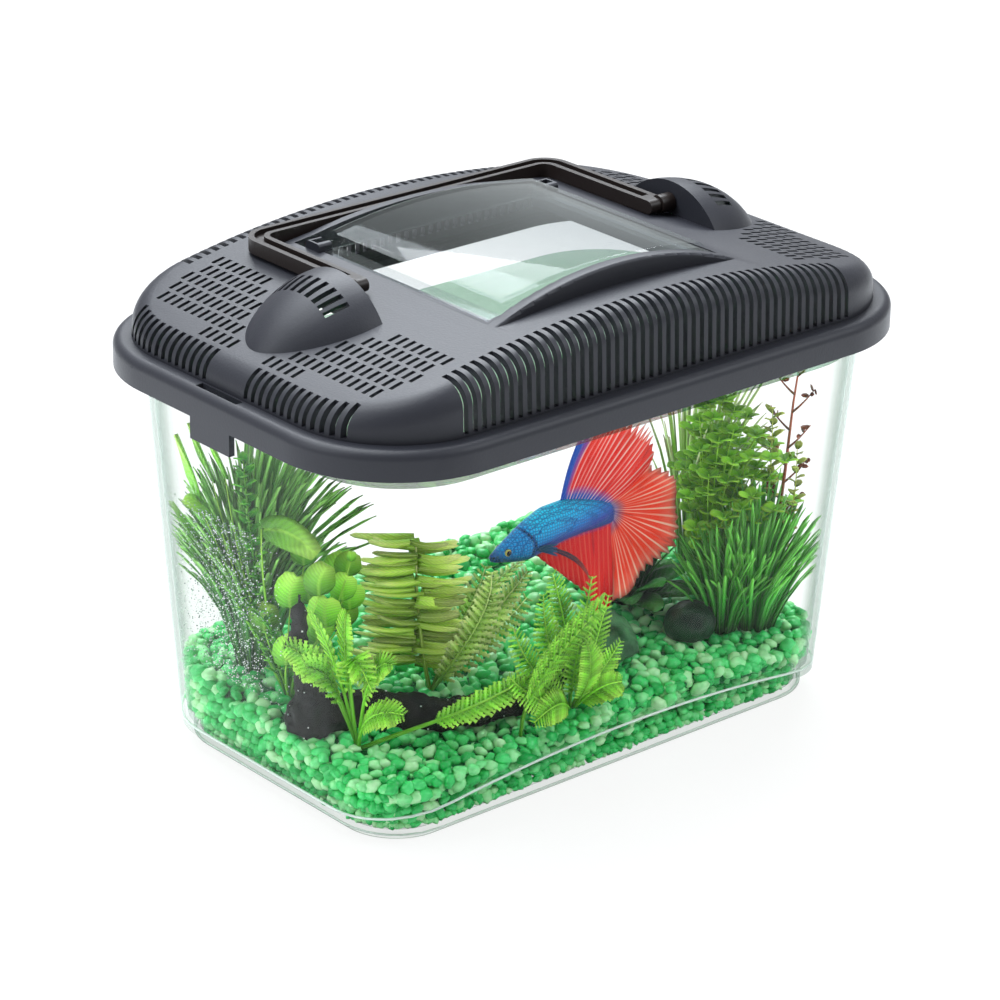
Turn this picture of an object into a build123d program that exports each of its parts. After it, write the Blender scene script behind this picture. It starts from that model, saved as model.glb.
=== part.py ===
from build123d import *
import math
import os

os.makedirs("parts", exist_ok=True)

# A small betta aquarium: a clear tapered tank with planted gravel, under a
# slotted plastic lid with a clear feeding hatch and a folding bail handle.
# Millimetres. X runs along the tank, the front faces -Y, and the foot
# stands on Z = 0.

# Lid shell
lid_length = 230.0
lid_width = 152.0
lid_corner = 41.0
lid_wall = 2.0
skirt_height = 9.0
ledge_round = 3.0
ledge_inset = 5.6
dome_draft = 2.6
dome_rise = 23.5
crown_radius = 380.0
shoulder_round = 8.0

# Tank
tank_height = 133.0
tank_wall = 2.0
tank_floor = 2.5
rim_thickness = 2.2
rim_play = 2.0
rim_lip_x = 4.45
rim_lip_y = 2.95
tank_draft = 4.6
tank_corner = 35.0
foot_inset = 3.85
foot_corner = 19.0
foot_round = 2.0
step_height = 14.0
step_radius = 565.0

# Feeding hatch and its frame in the lid
hatch_width = 82.0
hatch_front = -43.5
hatch_back = 37.0
hatch_wall = 1.5
hatch_side_rise = 4.0
hatch_arch = 3.7
hatch_round = 2.0
flange_reach = 5.5
flange_thickness = 1.25
flange_stop = 4.2
rebate_depth = 1.6
rebate_play = 0.6
seat_play = 0.15
opening_margin = 2.5
opening_front = -41.0
opening_back = 45.0
frame_border = 7.0
frame_depth = 9.0
hinge_y = 36.0
hinge_height = 155.6
hinge_pin = 1.45
hinge_play = 0.15
hinge_reach = 47.2
hinge_bar_inner = 30.0
cradle_length = 6.8
cradle_rise = 2.4
cradle_reach = 48.5

# Raised rails on the lid
rail_thickness = 5.0
rail_gap = 1.5
rail_half_span = 50.3
rail_rise = 6.5
band_half_span = 45.0
band_rise = 1.6

# Handle
handle_inner = 57.0
handle_arm = 6.5
handle_grip = 6.0
handle_throw = 48.5
handle_thickness = 4.4
handle_clearance = 0.3
elbow_outer = 9.0
elbow_inner = 3.5
channel_width = 2.8
channel_depth = 1.5
pivot_pin = 2.0
pivot_play = 0.15
pivot_collar = 3.0
pivot_overhang = 0.6

# Bosses that carry the handle
boss_face = 67.0
boss_drop = 20.4
boss_arc = 41.25
boss_arc_drop = 15.9
boss_arc_back = 2.3
fan_angles = (-34, -26, -18, -9, 0, 9, 18, 26, 34)
fan_slot = 1.8
fan_near = 7.0
fan_length = 8.0

# Vent slots
slot_pitch = 3.4
slot_width = 1.75
side_slot_count = 46
side_slot_top = 10.4
slot_foot = 0.8
end_slot_count = 13
end_slot_first = 10.0
end_slot_top = 5.9
grid_rows = 6
grid_first = 70.5
grid_row_pitch = 5.8
grid_slot_length = 4.6
grid_slot_width = 1.5
grid_corners = ((101.6, 6.7), (67.8, 29.7), (67.5, 56.3), (95.5, 53.0))

# Snap latches at the two ends
latch_width = 19.0
latch_drop = 7.0
bead_width = 14.0
bead_reach = 1.7
latch_slot_length = 19.5
latch_slot_width = 2.6
latch_slot_inset = 2.5

# Gravel and planting
gravel_play = 0.3
gravel_level = 25.0
gravel_slope_x = 0.02
gravel_slope_y = 0.1
gravel_wave = 0.8
root_depth = 5.0
root_rise = 1.5
fish_plane = -22.0
fin_thickness = 1.0


# Heights and sizes that follow from the values above
ledge_top = tank_height + lid_wall
skirt_bottom = ledge_top - skirt_height
crown_top = ledge_top + dome_rise
dome_length = lid_length - 2 * ledge_inset
dome_width = lid_width - 2 * ledge_inset
dome_corner = lid_corner - ledge_inset
rim_length = lid_length - 2 * (lid_wall + rim_play)
rim_width = lid_width - 2 * (lid_wall + rim_play)
rim_corner = lid_corner - lid_wall - rim_play
tank_length = rim_length - 2 * rim_lip_x
tank_width = rim_width - 2 * rim_lip_y
hatch_half = hatch_width / 2
opening_half = hatch_half + opening_margin
frame_half = opening_half + frame_border
rail_back = hatch_front - rail_gap
rail_front = rail_back - rail_thickness
handle_outer = handle_inner + handle_arm


def crown_at(x, drop=0.0):
    """Height of the lid's crown at a distance x from the middle."""
    radius = crown_radius - drop
    sag = radius - math.sqrt(radius ** 2 - x ** 2)
    return crown_top - drop - sag


handle_bottom = crown_at(handle_inner) + handle_clearance
handle_top = handle_bottom + handle_thickness
pivot_height = handle_bottom + handle_thickness / 2
boss_axis = crown_top - boss_drop
trough_front = handle_throw - pivot_overhang - handle_clearance
trough_back = handle_throw + handle_grip + pivot_overhang + handle_clearance


def slab(length, width, corner, low, high):
    """A rounded rectangular plate between two heights."""
    outline = RectangleRounded(length, width, corner)
    return Pos(0, 0, low) * extrude(outline, high - low)


def block(x_low, x_high, y_low, y_high, z_low, z_high):
    """A box between two corners."""
    middle = Pos((x_low + x_high) / 2, (y_low + y_high) / 2, (z_low + z_high) / 2)
    return middle * Box(x_high - x_low, y_high - y_low, z_high - z_low)


def both_ends(form):
    """A form and its mirror image at the other end of the lid."""
    return [form, mirror(form, about=Plane.YZ)]


def rod(radius, x_low, x_high, y, z):
    """A round rod along X."""
    length = x_high - x_low
    return Pos((x_low + x_high) / 2, y, z) * Rot(0, 90, 0) * Cylinder(radius, length)


def arch(half_span, tip, apex, y_low, y_high, bottom):
    """A plate that stands across the lid, with an arched top edge."""
    left = (-half_span, 0, tip)
    right = (half_span, 0, tip)
    top = ThreePointArc(left, (0, 0, apex), right)
    down = Line(right, (half_span, 0, bottom))
    across = Line((half_span, 0, bottom), (-half_span, 0, bottom))
    up = Line((-half_span, 0, bottom), left)
    profile = Face(Wire([top, down, across, up]))
    return Pos(0, y_low, 0) * extrude(profile, y_high - y_low, dir=(0, 1, 0))


def crown_body(drop):
    """Everything under the lid's crown, lowered by a wall or a seat."""
    radius = crown_radius - drop
    lid_side = lid_length / 2 + 5
    edge = crown_top - drop - radius + math.sqrt(radius ** 2 - lid_side ** 2)
    half_width = lid_width / 2 + 5
    return arch(lid_side, edge, crown_top - drop, -half_width, half_width, 0)


def dome(inset, low):
    """The raised middle of the lid, with its drafted walls and rounded shoulder."""
    wide = RectangleRounded(dome_length - 2 * inset, dome_width - 2 * inset, dome_corner - inset)
    walls = Pos(0, 0, low) * extrude(wide, crown_top + 10 - low, taper=dome_draft)
    form = walls & crown_body(inset)
    rim = [e for e in form.edges() if e.bounding_box().min.Z > crown_at(lid_length / 2) - 3]
    return fillet(rim, shoulder_round - inset)


def boss(inset, start):
    """The handle boss: a turned form about an X axis, kept above the dome's walls."""
    radius = boss_arc - inset
    centre = boss_face - boss_arc_back

    def turned(x):
        return math.sqrt(radius ** 2 - (x - centre) ** 2) - boss_arc_drop

    tail = centre + math.sqrt(radius ** 2 - boss_arc_drop ** 2)
    middle = (start + tail) / 2
    face = Line((start, 0, 0), (start, 0, turned(start)))
    curve = ThreePointArc((start, 0, turned(start)), (middle, 0, turned(middle)), (tail, 0, 0))
    axis = Line((tail, 0, 0), (start, 0, 0))
    form = revolve(Face(Wire([face, curve, axis])), Axis.X, 360)
    form = Pos(0, 0, boss_axis) * form
    return form & block(start - 1, tail + 1, -boss_arc, boss_arc, boss_axis, crown_top + boss_arc)


# Lid: outer form
skirt = slab(lid_length, lid_width, lid_corner, skirt_bottom, ledge_top)
skirt = fillet(skirt.faces().sort_by(Axis.Z)[-1].outer_wire().edges(), ledge_round)
rail = arch(rail_half_span, crown_at(rail_half_span) - 0.5, crown_top + rail_rise,
            rail_front, rail_back, crown_top - frame_depth)
rail = fillet(rail.faces().filter_by(Axis.Z, reverse=True).sort_by(Axis.Z)[-1].edges(), 1.2)
band = arch(band_half_span, crown_at(band_half_span) - 0.3, crown_top + band_rise,
            opening_back, trough_front, crown_top - frame_depth)
lid = skirt + dome(0, tank_height) + rail + band
for piece in both_ends(boss(0, boss_face)):
    lid = lid + piece

# Lid: hollow inside, which leaves a frame round the hatch and the trough's walls
hollow = slab(lid_length - 2 * lid_wall, lid_width - 2 * lid_wall, lid_corner - lid_wall,
              skirt_bottom - 1, tank_height)
hollow = hollow + dome(lid_wall, tank_height - 1)
for piece in both_ends(boss(lid_wall, boss_face + lid_wall)):
    hollow = hollow + piece
frame = block(-frame_half, frame_half, rail_front, trough_back + lid_wall,
              crown_top - frame_depth, crown_top + 20)
trough_floor = handle_bottom - handle_clearance
under_trough = block(-handle_inner, handle_inner, opening_back, trough_back + lid_wall,
                     trough_floor - lid_wall, crown_top + 20)
trough_space = block(-frame_half - 1, frame_half + 1, trough_front, trough_back + lid_wall + 1,
                     crown_top - frame_depth - 1, trough_floor - lid_wall)
hollow = hollow - (frame - trough_space) - under_trough
lid = lid - hollow

# Lid: hatch opening, rebate, hinge cradles, trough
cutters = [
    block(-opening_half, opening_half, opening_front, opening_back, skirt_bottom, crown_top + 20),
    block(-handle_outer, handle_outer, trough_front, trough_back, trough_floor, crown_top + 20),
]
rebate_half = hatch_half + flange_reach + rebate_play
rebate = block(-rebate_half, rebate_half, hatch_front - rebate_play, hinge_y - flange_stop + rebate_play,
               crown_top - 15, crown_top + 20)
cutters.append(rebate - crown_body(rebate_depth))
cradle_front = hinge_y - cradle_length / 2
cradle_back = hinge_y + cradle_length / 2
side_gap = block(-cradle_reach, cradle_reach, cradle_back, opening_back,
                 skirt_bottom, crown_top + 20)
cutters.append(side_gap)
lid = lid.cut(*cutters)
cradle = block(opening_half, cradle_reach, cradle_front, cradle_back,
               crown_top - frame_depth, hinge_height + cradle_rise)
cradle = fillet(cradle.edges().filter_by(Axis.X).sort_by(Axis.Z)[-2:], 1.2)
for piece in both_ends(cradle):
    lid = lid + piece
groove_radius = hinge_pin + hinge_play
groove = rod(groove_radius, opening_half - 1, hinge_reach + rebate_play, hinge_y, hinge_height)
groove = groove + block(opening_half - 1, hinge_reach + rebate_play, hinge_y - groove_radius,
                        hinge_y + groove_radius, hinge_height, crown_top + 20)
lid = lid.cut(*both_ends(groove))

# Lid: pivot holes for the handle, and the fan of slots in each boss
bores = both_ends(rod(pivot_pin + pivot_play, boss_face - 1, boss_face + lid_wall + 1, 0, pivot_height))
for angle in fan_angles:
    slot = block(boss_face + fan_near, boss_face + fan_near + fan_length,
                 -fan_slot / 2, fan_slot / 2, 17, boss_arc - 10)
    bores += both_ends(Pos(0, 0, boss_axis) * Rot(angle, 0, 0) * slot)
lid = lid.cut(*bores)

# Lid: upright slots round the walls, and the staggered grids on the crown
slots = []
slot_bottom = ledge_top + slot_foot
slot_top = crown_top + 2
for index in range(side_slot_count):
    x = (index - (side_slot_count - 1) / 2) * slot_pitch
    inner = dome_width / 2 - side_slot_top
    for side in (-1, 1):
        slots.append(Pos(x, side * (inner + 10), (slot_bottom + slot_top) / 2)
                     * Box(slot_width, 20, slot_top - slot_bottom))
corner_centre = dome_width / 2 - dome_corner
for index in range(end_slot_count):
    y = end_slot_first + index * slot_pitch
    bend = max(0.0, y - corner_centre)
    tuck = dome_corner - math.sqrt(dome_corner ** 2 - bend ** 2)
    inner = dome_length / 2 - end_slot_top - tuck
    for side in (-1, 1):
        slot = Pos(inner + 10, side * y, (slot_bottom + slot_top) / 2) * Box(20, slot_width, slot_top - slot_bottom)
        slots += both_ends(slot)


def inside_grid(x, y):
    """True where a grid slot lies inside the four-cornered field."""
    turns = []
    for index, start in enumerate(grid_corners):
        end = grid_corners[(index + 1) % len(grid_corners)]
        turns.append((end[0] - start[0]) * (y - start[1]) - (end[1] - start[1]) * (x - start[0]))
    return all(turn <= 0 for turn in turns)


for row in range(grid_rows):
    x = grid_first + row * grid_row_pitch
    for index in range(40):
        y = (index + 0.5 * (row % 2)) * slot_pitch
        if inside_grid(x, y):
            for side in (-1, 1):
                slot = Pos(x, side * y, crown_at(x)) * Box(grid_slot_length, grid_slot_width, 14)
                slots += both_ends(slot)
lid = lid.cut(*slots)
print("lid slots", len(slots))

# Lid: latches that snap under the tank's rim
latch_outer = lid_length / 2
latch = block(latch_outer - lid_wall, latch_outer, -latch_width / 2, latch_width / 2,
              skirt_bottom - latch_drop, skirt_bottom + 1)
bead_top = tank_height - rim_thickness - 1
bead_tip = latch_outer - lid_wall - bead_reach
bead_profile = Face(Wire(Polyline(
    (latch_outer - lid_wall, 0, bead_top), (bead_tip, 0, bead_top - 1.2),
    (bead_tip, 0, bead_top - 2.0), (latch_outer - lid_wall, 0, bead_top - 4.2), close=True).edges()))
bead = Pos(0, bead_width / 2, 0) * extrude(bead_profile, bead_width, dir=(0, -1, 0))
ledge_slot = block(latch_outer - latch_slot_inset - latch_slot_width, latch_outer - latch_slot_inset,
                   -latch_slot_length / 2, latch_slot_length / 2, tank_height - 1, ledge_top + 1)
for piece in both_ends(latch) + both_ends(bead):
    lid = lid + piece
lid = lid.cut(*both_ends(ledge_slot))
print("lid", lid.volume, len(lid.solids()), len(lid.faces()))

# Hatch: arched clear cover with side flanges and hinge pins
shell = arch(hatch_half, crown_at(hatch_half) + hatch_side_rise, crown_top + hatch_side_rise + hatch_arch - 2.2,
             hatch_front, hatch_back, hinge_height - hinge_pin)
shell = fillet(shell.edges().filter_by(lambda e: e.center().Z > crown_top), hatch_round)
core = arch(hatch_half - hatch_wall, crown_at(hatch_half) + hatch_side_rise - hatch_wall,
            crown_top + hatch_side_rise + hatch_arch - 2.2 - hatch_wall,
            hatch_front + hatch_wall, hatch_back - hatch_wall, hinge_height - 20)
seat = rebate_depth - seat_play
below = block(-lid_length, lid_length, -lid_width, hinge_y - flange_stop, 0, crown_top + 30) & crown_body(seat)
hatch = shell - core - below
flange = block(hatch_half - 0.5, hatch_half + flange_reach, hatch_front, hinge_y - flange_stop,
               crown_top - 20, crown_top + 20)
flange = (flange & crown_body(seat - flange_thickness)) - crown_body(seat)
for piece in both_ends(flange):
    hatch = hatch + piece
for piece in both_ends(rod(hinge_pin, hinge_bar_inner, hinge_reach, hinge_y, hinge_height)):
    hatch = hatch + piece
print("hatch", hatch.volume, len(hatch.solids()))

# Handle: flat bail with a channel along its top
bail = Rectangle(2 * handle_outer, 2 * (handle_throw + handle_grip))
bail = fillet(bail.vertices(), elbow_outer) - fillet(
    Rectangle(2 * handle_inner, 2 * handle_throw).vertices(), elbow_inner)
groove_edge = (handle_grip - channel_width) / 2
arm_edge = (handle_arm - channel_width) / 2
channel = fillet(Rectangle(2 * (handle_outer - arm_edge), 2 * (handle_throw + handle_grip - groove_edge)).vertices(),
                 elbow_outer - groove_edge)
channel = channel - fillet(Rectangle(2 * (handle_inner + arm_edge), 2 * (handle_throw + groove_edge)).vertices(),
                           elbow_inner + groove_edge)
arm_start = handle_thickness
handle = Pos(0, 0, handle_bottom) * extrude(bail, handle_thickness)
handle = handle - block(-lid_length, lid_length, -lid_width, 0, 0, crown_top + 30)
channel = Pos(0, 0, handle_top - channel_depth) * extrude(channel, channel_depth + 1)
handle = handle - (channel - block(-lid_length, lid_length, -lid_width, arm_start, 0, crown_top + 30))
for piece in both_ends(rod(handle_thickness / 2, handle_inner, handle_outer, 0, pivot_height)):
    handle = handle + piece
collar_end = boss_face - handle_clearance
pin_end = boss_face + lid_wall + pivot_overhang
for piece in both_ends(rod(pivot_collar, handle_outer - 2, collar_end, 0, pivot_height)):
    handle = handle + piece
for piece in both_ends(rod(pivot_pin, handle_outer, pin_end, 0, pivot_height)):
    handle = handle + piece
print("handle", handle.volume, len(handle.solids()))


# Tank: drafted walls on a recessed foot, with an arched step between them
def tank_form(inset, foot_bottom, top):
    """The tank's body and foot, moved inwards by a wall or a clearance."""
    shrink = tank_height * math.tan(math.radians(tank_draft))
    base_length = tank_length - 2 * shrink
    base_width = tank_width - 2 * shrink
    base = RectangleRounded(base_length - 2 * inset, base_width - 2 * inset, tank_corner - shrink - inset)
    body = extrude(base, tank_height, taper=-tank_draft)
    arch_form = Pos(0, 0, step_height - step_radius) * Rot(90, 0, 0) * Cylinder(step_radius + inset, 400)
    body = body - arch_form
    foot = slab(base_length - 2 * (foot_inset + inset), base_width - 2 * (foot_inset + inset),
                foot_corner - inset, foot_bottom, step_height + inset + 1)
    foot = fillet(foot.faces().sort_by(Axis.Z)[0].edges(), foot_round - min(inset, 1.2))
    form = body + foot
    return form & block(-200, 200, -200, 200, 0, top)


rim = slab(rim_length, rim_width, rim_corner, tank_height - rim_thickness, tank_height)
rim = fillet(rim.faces().sort_by(Axis.Z)[0].edges(), 0.8)
cavity = tank_form(tank_wall, tank_floor, tank_height)
tank = tank_form(0, 0, tank_height) + rim - cavity
print("tank", tank.volume, len(tank.solids()))


# Gravel: a level that climbs to the back, seated on the tank's floor
def ground(x, y):
    """Height of the gravel."""
    wave = gravel_wave * math.sin(x / 28) * math.cos(y / 35)
    return gravel_level + gravel_slope_x * x + gravel_slope_y * y + wave


def ground_profile(y):
    """A cut through the gravel across the tank."""
    half = lid_length / 2
    points = [(half * k / 3, y, ground(half * k / 3, y)) for k in range(-3, 4)]
    return make_face(Polyline(points + [(half, y, 0), (-half, y, 0)], close=True))


terrain = loft([ground_profile(y) for y in (-75, -25, 25, 75)], ruled=True)
gravel_bed = tank_form(tank_wall + gravel_play, tank_floor, tank_height) & terrain
print("gravel", gravel_bed.volume, len(gravel_bed.solids()))


# Planting
def blade(root, heading, reach, rise, width, thickness, curl=0.3, shares=(0.6, 1.0, 0.8, 0.2)):
    """A leaf or needle: a ruled loft through rectangles along a bending midrib."""
    turn = math.radians(heading)
    away = Vector(math.cos(turn), math.sin(turn), 0)
    across = Vector(-math.sin(turn), math.cos(turn), 0)
    sections = []
    for step, share in enumerate(shares):
        t = step / (len(shares) - 1)
        centre = Vector(*root) + away * (reach * t ** 1.6) + Vector(0, 0, rise * (t - curl * t * t))
        slope = away * (1.6 * reach * max(t, 0.08) ** 0.6) + Vector(0, 0, rise * (1 - 2 * curl * t))
        plane = Plane(origin=centre, x_dir=across, z_dir=slope)
        sections.append(plane * Rectangle(width * share, thickness * (0.5 + 0.5 * share)))
    return loft(sections, ruled=True)


def root_plug(x, y, radius):
    """The root crown of a plant, set into the gravel."""
    height = root_depth + root_rise
    middle = ground(x, y) - root_depth + height / 2
    return Pos(x, y, middle) * Cone(radius, radius * 0.7, height)


def grass_clump(x, y, radius, count, rise, reach, width, thickness, turn=0.0):
    """Blades that fan out of one root crown, the outer ones shorter and further over."""
    plant = root_plug(x, y, radius)
    leaves = []
    for index in range(count):
        heading = math.radians(turn + 137.5 * index)
        share = (index + 0.5) / count
        offset = radius * 0.55 * share
        root = (x + offset * math.cos(heading), y + offset * math.sin(heading), ground(x, y) + root_rise - 1)
        leaves.append(blade(root, math.degrees(heading), reach * (0.25 + 0.75 * share),
                            rise * (1.0 - 0.3 * share ** 2), width, thickness))
    return plant + leaves


def frond(root, tip, side, half_width, pairs, thickness):
    """A flat fern frond, its leaflets cut as teeth along both edges."""
    axis = Vector(*tip) - Vector(*root)
    length = axis.length
    upper = []
    for index in range(pairs):
        t = (index + 0.5) / pairs
        spread = half_width * math.sin(math.pi * (0.18 + 0.8 * t)) ** 0.8
        start = length * index / pairs
        step = length / pairs
        upper.append((start + 0.12 * step, 0.9))
        upper.append((start + 0.75 * step, spread))
        upper.append((start + 0.85 * step, 0.9))
    lower = [(px, -py) for px, py in reversed(upper)]
    outline = make_face(Polyline([(0, 0.9)] + upper + [(length, 0.3), (length, -0.3)] + lower + [(0, -0.9)], close=True))
    plane = Plane(origin=root, x_dir=axis, z_dir=axis.cross(Vector(*side)))
    return plane * Pos(0, 0, -thickness / 2) * extrude(outline, thickness)


def fern(x, y, radius, fronds):
    """Fronds that rise from one root crown."""
    root = (x, y, ground(x, y) + root_rise - 0.8)
    leaves = [frond(root, tip, side, half_width, 7, leaf_thickness) for tip, side, half_width in fronds]
    return root_plug(x, y, radius) + leaves


def limb(points, radii, sides=8):
    """A tapering branch: a ruled loft through polygons."""
    sections = []
    for index, point in enumerate(points):
        before = Vector(*points[max(index - 1, 0)])
        after = Vector(*points[min(index + 1, len(points) - 1)])
        plane = Plane(origin=point, x_dir=(0, 0.2, 1), z_dir=after - before)
        sections.append(plane * RegularPolygon(radii[index], sides))
    return loft(sections, ruled=True)


def boulder(layers, sides, stretch):
    """A rough stone: a ruled loft through rings of unlike polygons."""
    rings = []
    for index, (x, y, z, radius) in enumerate(layers):
        corners = []
        for corner in range(sides):
            turn = math.tau * (corner + 0.12 * index) / sides
            reach = radius * (1 + 0.14 * math.sin(2.3 * corner + index))
            corners.append((x + stretch * reach * math.cos(turn), y + reach * math.sin(turn), z))
        rings.append(make_face(Polyline(corners, close=True)))
    return loft(rings, ruled=True)


leaf_thickness = 0.9
grass_plant_left = grass_clump(-76, 31, 8, 11, 84, 21, 4.2, leaf_thickness, 20)
reed_plant = grass_clump(85, 2, 6, 8, 88, 13, 2.6, leaf_thickness, 60)
grass_plant_right = grass_clump(73, -39, 7, 12, 42, 17, 3.4, leaf_thickness, 0)
grass_tuft = grass_clump(47, -6, 8, 11, 34, 15, 3.4, leaf_thickness, 40)
needle_x, needle_y = -40, -12
needle_plant = root_plug(needle_x, needle_y, 5)
needles = []
for index in range(13):
    turn = math.radians(137.5 * index)
    foot = 0.35 + 0.28 * index
    level = ground(needle_x, needle_y) + root_rise
    root = (needle_x + foot * math.cos(turn), needle_y + foot * math.sin(turn), level - 1)
    lean = 6 + 1.9 * foot * 3
    tip = (root[0] + lean * (0.8 + 0.5 * math.cos(turn)), root[1] + lean * 0.7 * math.sin(turn),
           level + 36 - 3.2 * foot)
    needles.append(limb((root, tip), (0.9, 0.35), 4))
needle_plant = needle_plant + needles

broadleaf_x, broadleaf_y = -80, 8
broadleaf_plant = root_plug(broadleaf_x, broadleaf_y, 6)
leaves = []
root = (broadleaf_x, broadleaf_y, ground(broadleaf_x, broadleaf_y) + root_rise - 1)
for heading, reach, rise, width in ((350, 9, 62, 12), (60, 8, 48, 11), (200, 9, 42, 11),
                                    (280, 12, 46, 11), (320, 17, 36, 10)):
    leaves.append(blade(root, heading, reach, rise, width, leaf_thickness, 0.1, (0.2, 0.7, 1.0, 0.75, 0.1)))
for heading, reach, rise in ((115, 24, 52), (160, 9, 78)):
    leaves.append(blade(root, heading, reach, rise, 3.4, 1.2, 0.05, (0.6, 1.0, 1.0, 0.4)))
broadleaf_plant = broadleaf_plant + leaves

clover_x, clover_y = 74, -18
clover_plant = root_plug(clover_x, clover_y, 5)
sprays = []
for index in range(8):
    heading = 137.5 * index
    turn = math.radians(heading)
    reach = 4 + 1.3 * index
    rise = 64 - 3.2 * index
    root = (clover_x, clover_y, ground(clover_x, clover_y) + root_rise - 1)
    sprays.append(blade(root, heading, reach, rise, 1.5, 1.2, 0.0, (1.0, 0.9, 0.8)))
    for share in (0.55, 0.78, 1.0):
        outward = reach * share ** 1.6
        middle = (clover_x + outward * math.cos(turn), clover_y + outward * math.sin(turn),
                  root[2] + rise * share - 0.5)
        leaf = Plane(origin=middle, z_dir=(math.cos(turn), math.sin(turn), 1.6)) * RegularPolygon(4.2, 6)
        sprays.append(extrude(leaf, leaf_thickness))
clover_plant = clover_plant + sprays

fern_left = fern(-80, -26, 4, (
    ((-90, -18, 53), (0, 1, 0.2), 6.0), ((-90, -24, 60), (0, 1, 0), 6.5),
    ((-86, -36, 58), (0.3, 1, 0), 6.5), ((-82, -42, 40), (0.3, 1, 0.3), 6.0),
    ((-30, -50, 38), (0.3, 1, 0.6), 6.0)))
fern_centre = fern(-12, -46, 5, (
    ((-27, -47, 58), (1, 0, 0.4), 7.0), ((-7, -47, 62), (1, 0, 0), 7.0),
    ((12, -47, 53), (0.8, 0, -0.8), 7.0), ((15, -51, 36), (0, 1, 0.3), 5.5),
    ((-15, -55, 42), (1, 0, 0), 6.0)))

sprig_x, sprig_y = 90, -22
stem = limb(((sprig_x, sprig_y, ground(sprig_x, sprig_y) - root_depth), (sprig_x + 3, sprig_y - 4, 60),
             (sprig_x + 5, sprig_y - 6, 99)), (1.6, 1.1, 0.6), 5)
twigs = []
for height, heading, reach, rise in ((48, 200, 13, 22), (60, 300, 10, 20), (70, 160, 12, 18), (80, 330, 5, 14)):
    share = (height - gravel_level) / 74
    twig_x, twig_y = sprig_x + 1 + 4 * share, sprig_y - 1 - 5 * share
    twigs.append(blade((twig_x, twig_y, height), heading, reach, rise, 1.6, 1.4, 0.1, (1, 0.8, 0.5)))
    leaf = blade((twig_x, twig_y, height - 4), heading + 150, 5, 7, 3.4, leaf_thickness, 0.1, (0.3, 1.0, 0.2))
    twigs.append(leaf)
red_sprig = stem + twigs

# Driftwood and stones
driftwood = limb(((-84, -9, 15), (-84.5, -9, 25), (-84, -9, 31), (-83, -8, 35)), (9.6, 9.4, 7.2, 3.0))
driftwood = driftwood + [
    limb(((-84, -9, 24), (-68, -14, 24), (-52, -27, 23), (-36, -36, 23), (-20, -36.5, 24), (-8, -36, 29), (2, -34, 43)),
         (8.5, 7.2, 6.4, 5.8, 5.2, 4.4, 2.0)),
    limb(((-85, -8, 30), (-88, -7, 50), (-89, -9, 68)), (4.6, 3.2, 1.4), 6),
]
driftwood = driftwood - gravel_bed
green_rock = boulder(((17, -27, 14, 11), (17, -27, 25, 10.5), (19, -25, 30, 8), (21, -23.5, 33.5, 4)), 7, 1.35)
green_rock = green_rock - gravel_bed
round_stone = Pos(50, -34, ground(50, -34) + 4) * scale(Sphere(8.5), by=(1.1, 0.9, 0.85))
round_stone = round_stone - gravel_bed

# Betta
body_stations = (
    (-25.0, 66.0, 0.8, 0.9), (-21.5, 66.2, 2.2, 2.5), (-16.5, 67.0, 3.4, 4.6), (-11.0, 68.2, 4.4, 6.8),
    (-4.0, 70.2, 4.7, 7.7), (5.0, 71.3, 4.0, 6.9), (14.0, 70.2, 3.0, 5.6), (21.0, 68.8, 2.2, 4.5),
    (25.5, 67.7, 1.2, 3.0))
rings = []
for x, z, half_width, half_height in body_stations:
    plane = Plane(origin=(x, fish_plane, z), x_dir=(0, 1, 0), z_dir=(1, 0, 0))
    rings.append(plane * Ellipse(half_width, half_height))
betta_trunk = loft(rings)
eyes = [Pos(-19.6, fish_plane + side * 2.0, 67.4) * Sphere(1.5) for side in (-1, 1)]
betta_body = betta_trunk + eyes


def fin(points):
    """A thin fin in the fish's own plane, cut to the body."""
    outline = make_face(Polyline([(x, 0, z) for x, z in points], close=True))
    plate = Pos(0, fish_plane - fin_thickness / 2, 0) * extrude(outline, fin_thickness, dir=(0, 1, 0))
    return plate - betta_body


dorsal_fin = fin(((4, 76), (5.5, 83), (8, 90), (11, 96), (14.5, 99.3), (21, 99.6), (25, 97.6), (28, 98.8), (33, 96),
                  (38, 96.3), (40, 92.3), (43.8, 89.8), (42.3, 85.5), (43.5, 82.5), (40, 79.6), (32, 77.4),
                  (24, 74.6), (20, 71.5), (12, 74)))
tail_fin = fin(((24.8, 69.5), (27, 71.6), (34, 73.4), (44, 78.8), (46, 75.8), (51.8, 73.2), (50.6, 69.3), (56, 65.5),
                (52.2, 62), (56, 57.4), (50.6, 55.6), (53.5, 49.2), (47.2, 49.6), (45.8, 43.6), (40.8, 45),
                (36.5, 37.8), (33.6, 41.5), (28.4, 38.2), (26.8, 46), (26.2, 58), (24.8, 66)))
anal_fin = fin(((-6, 60.6), (0, 55.6), (6, 50.6), (9.8, 49.6), (12.4, 45.2), (15.4, 44.2), (17.2, 38.6), (19.8, 37.2),
                (21.6, 32), (23, 31.4), (23.6, 40), (23.8, 52), (23.9, 63), (20, 66), (5, 66), (-5, 64)))
ventral_fins = []
pectoral_fins = []
for side in (-1, 1):
    ventral_fins.append(blade((-2, fish_plane + side * 2.2, 65), side * 8, 14, -15, 2.6, 0.9, -0.1, (1.0, 1.0, 0.7, 0.2)))
    pectoral_fins.append(blade((-8, fish_plane + side * 2.5, 69), side * 38, 9, -5, 5.0, 0.9, 0.0, (0.5, 0.8, 1.0, 0.7)))
ventral_fins = ventral_fins[0] + ventral_fins[1:] - betta_body
pectoral_fins = pectoral_fins[0] + pectoral_fins[1:] - betta_body
green_rock = green_rock - anal_fin

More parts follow.
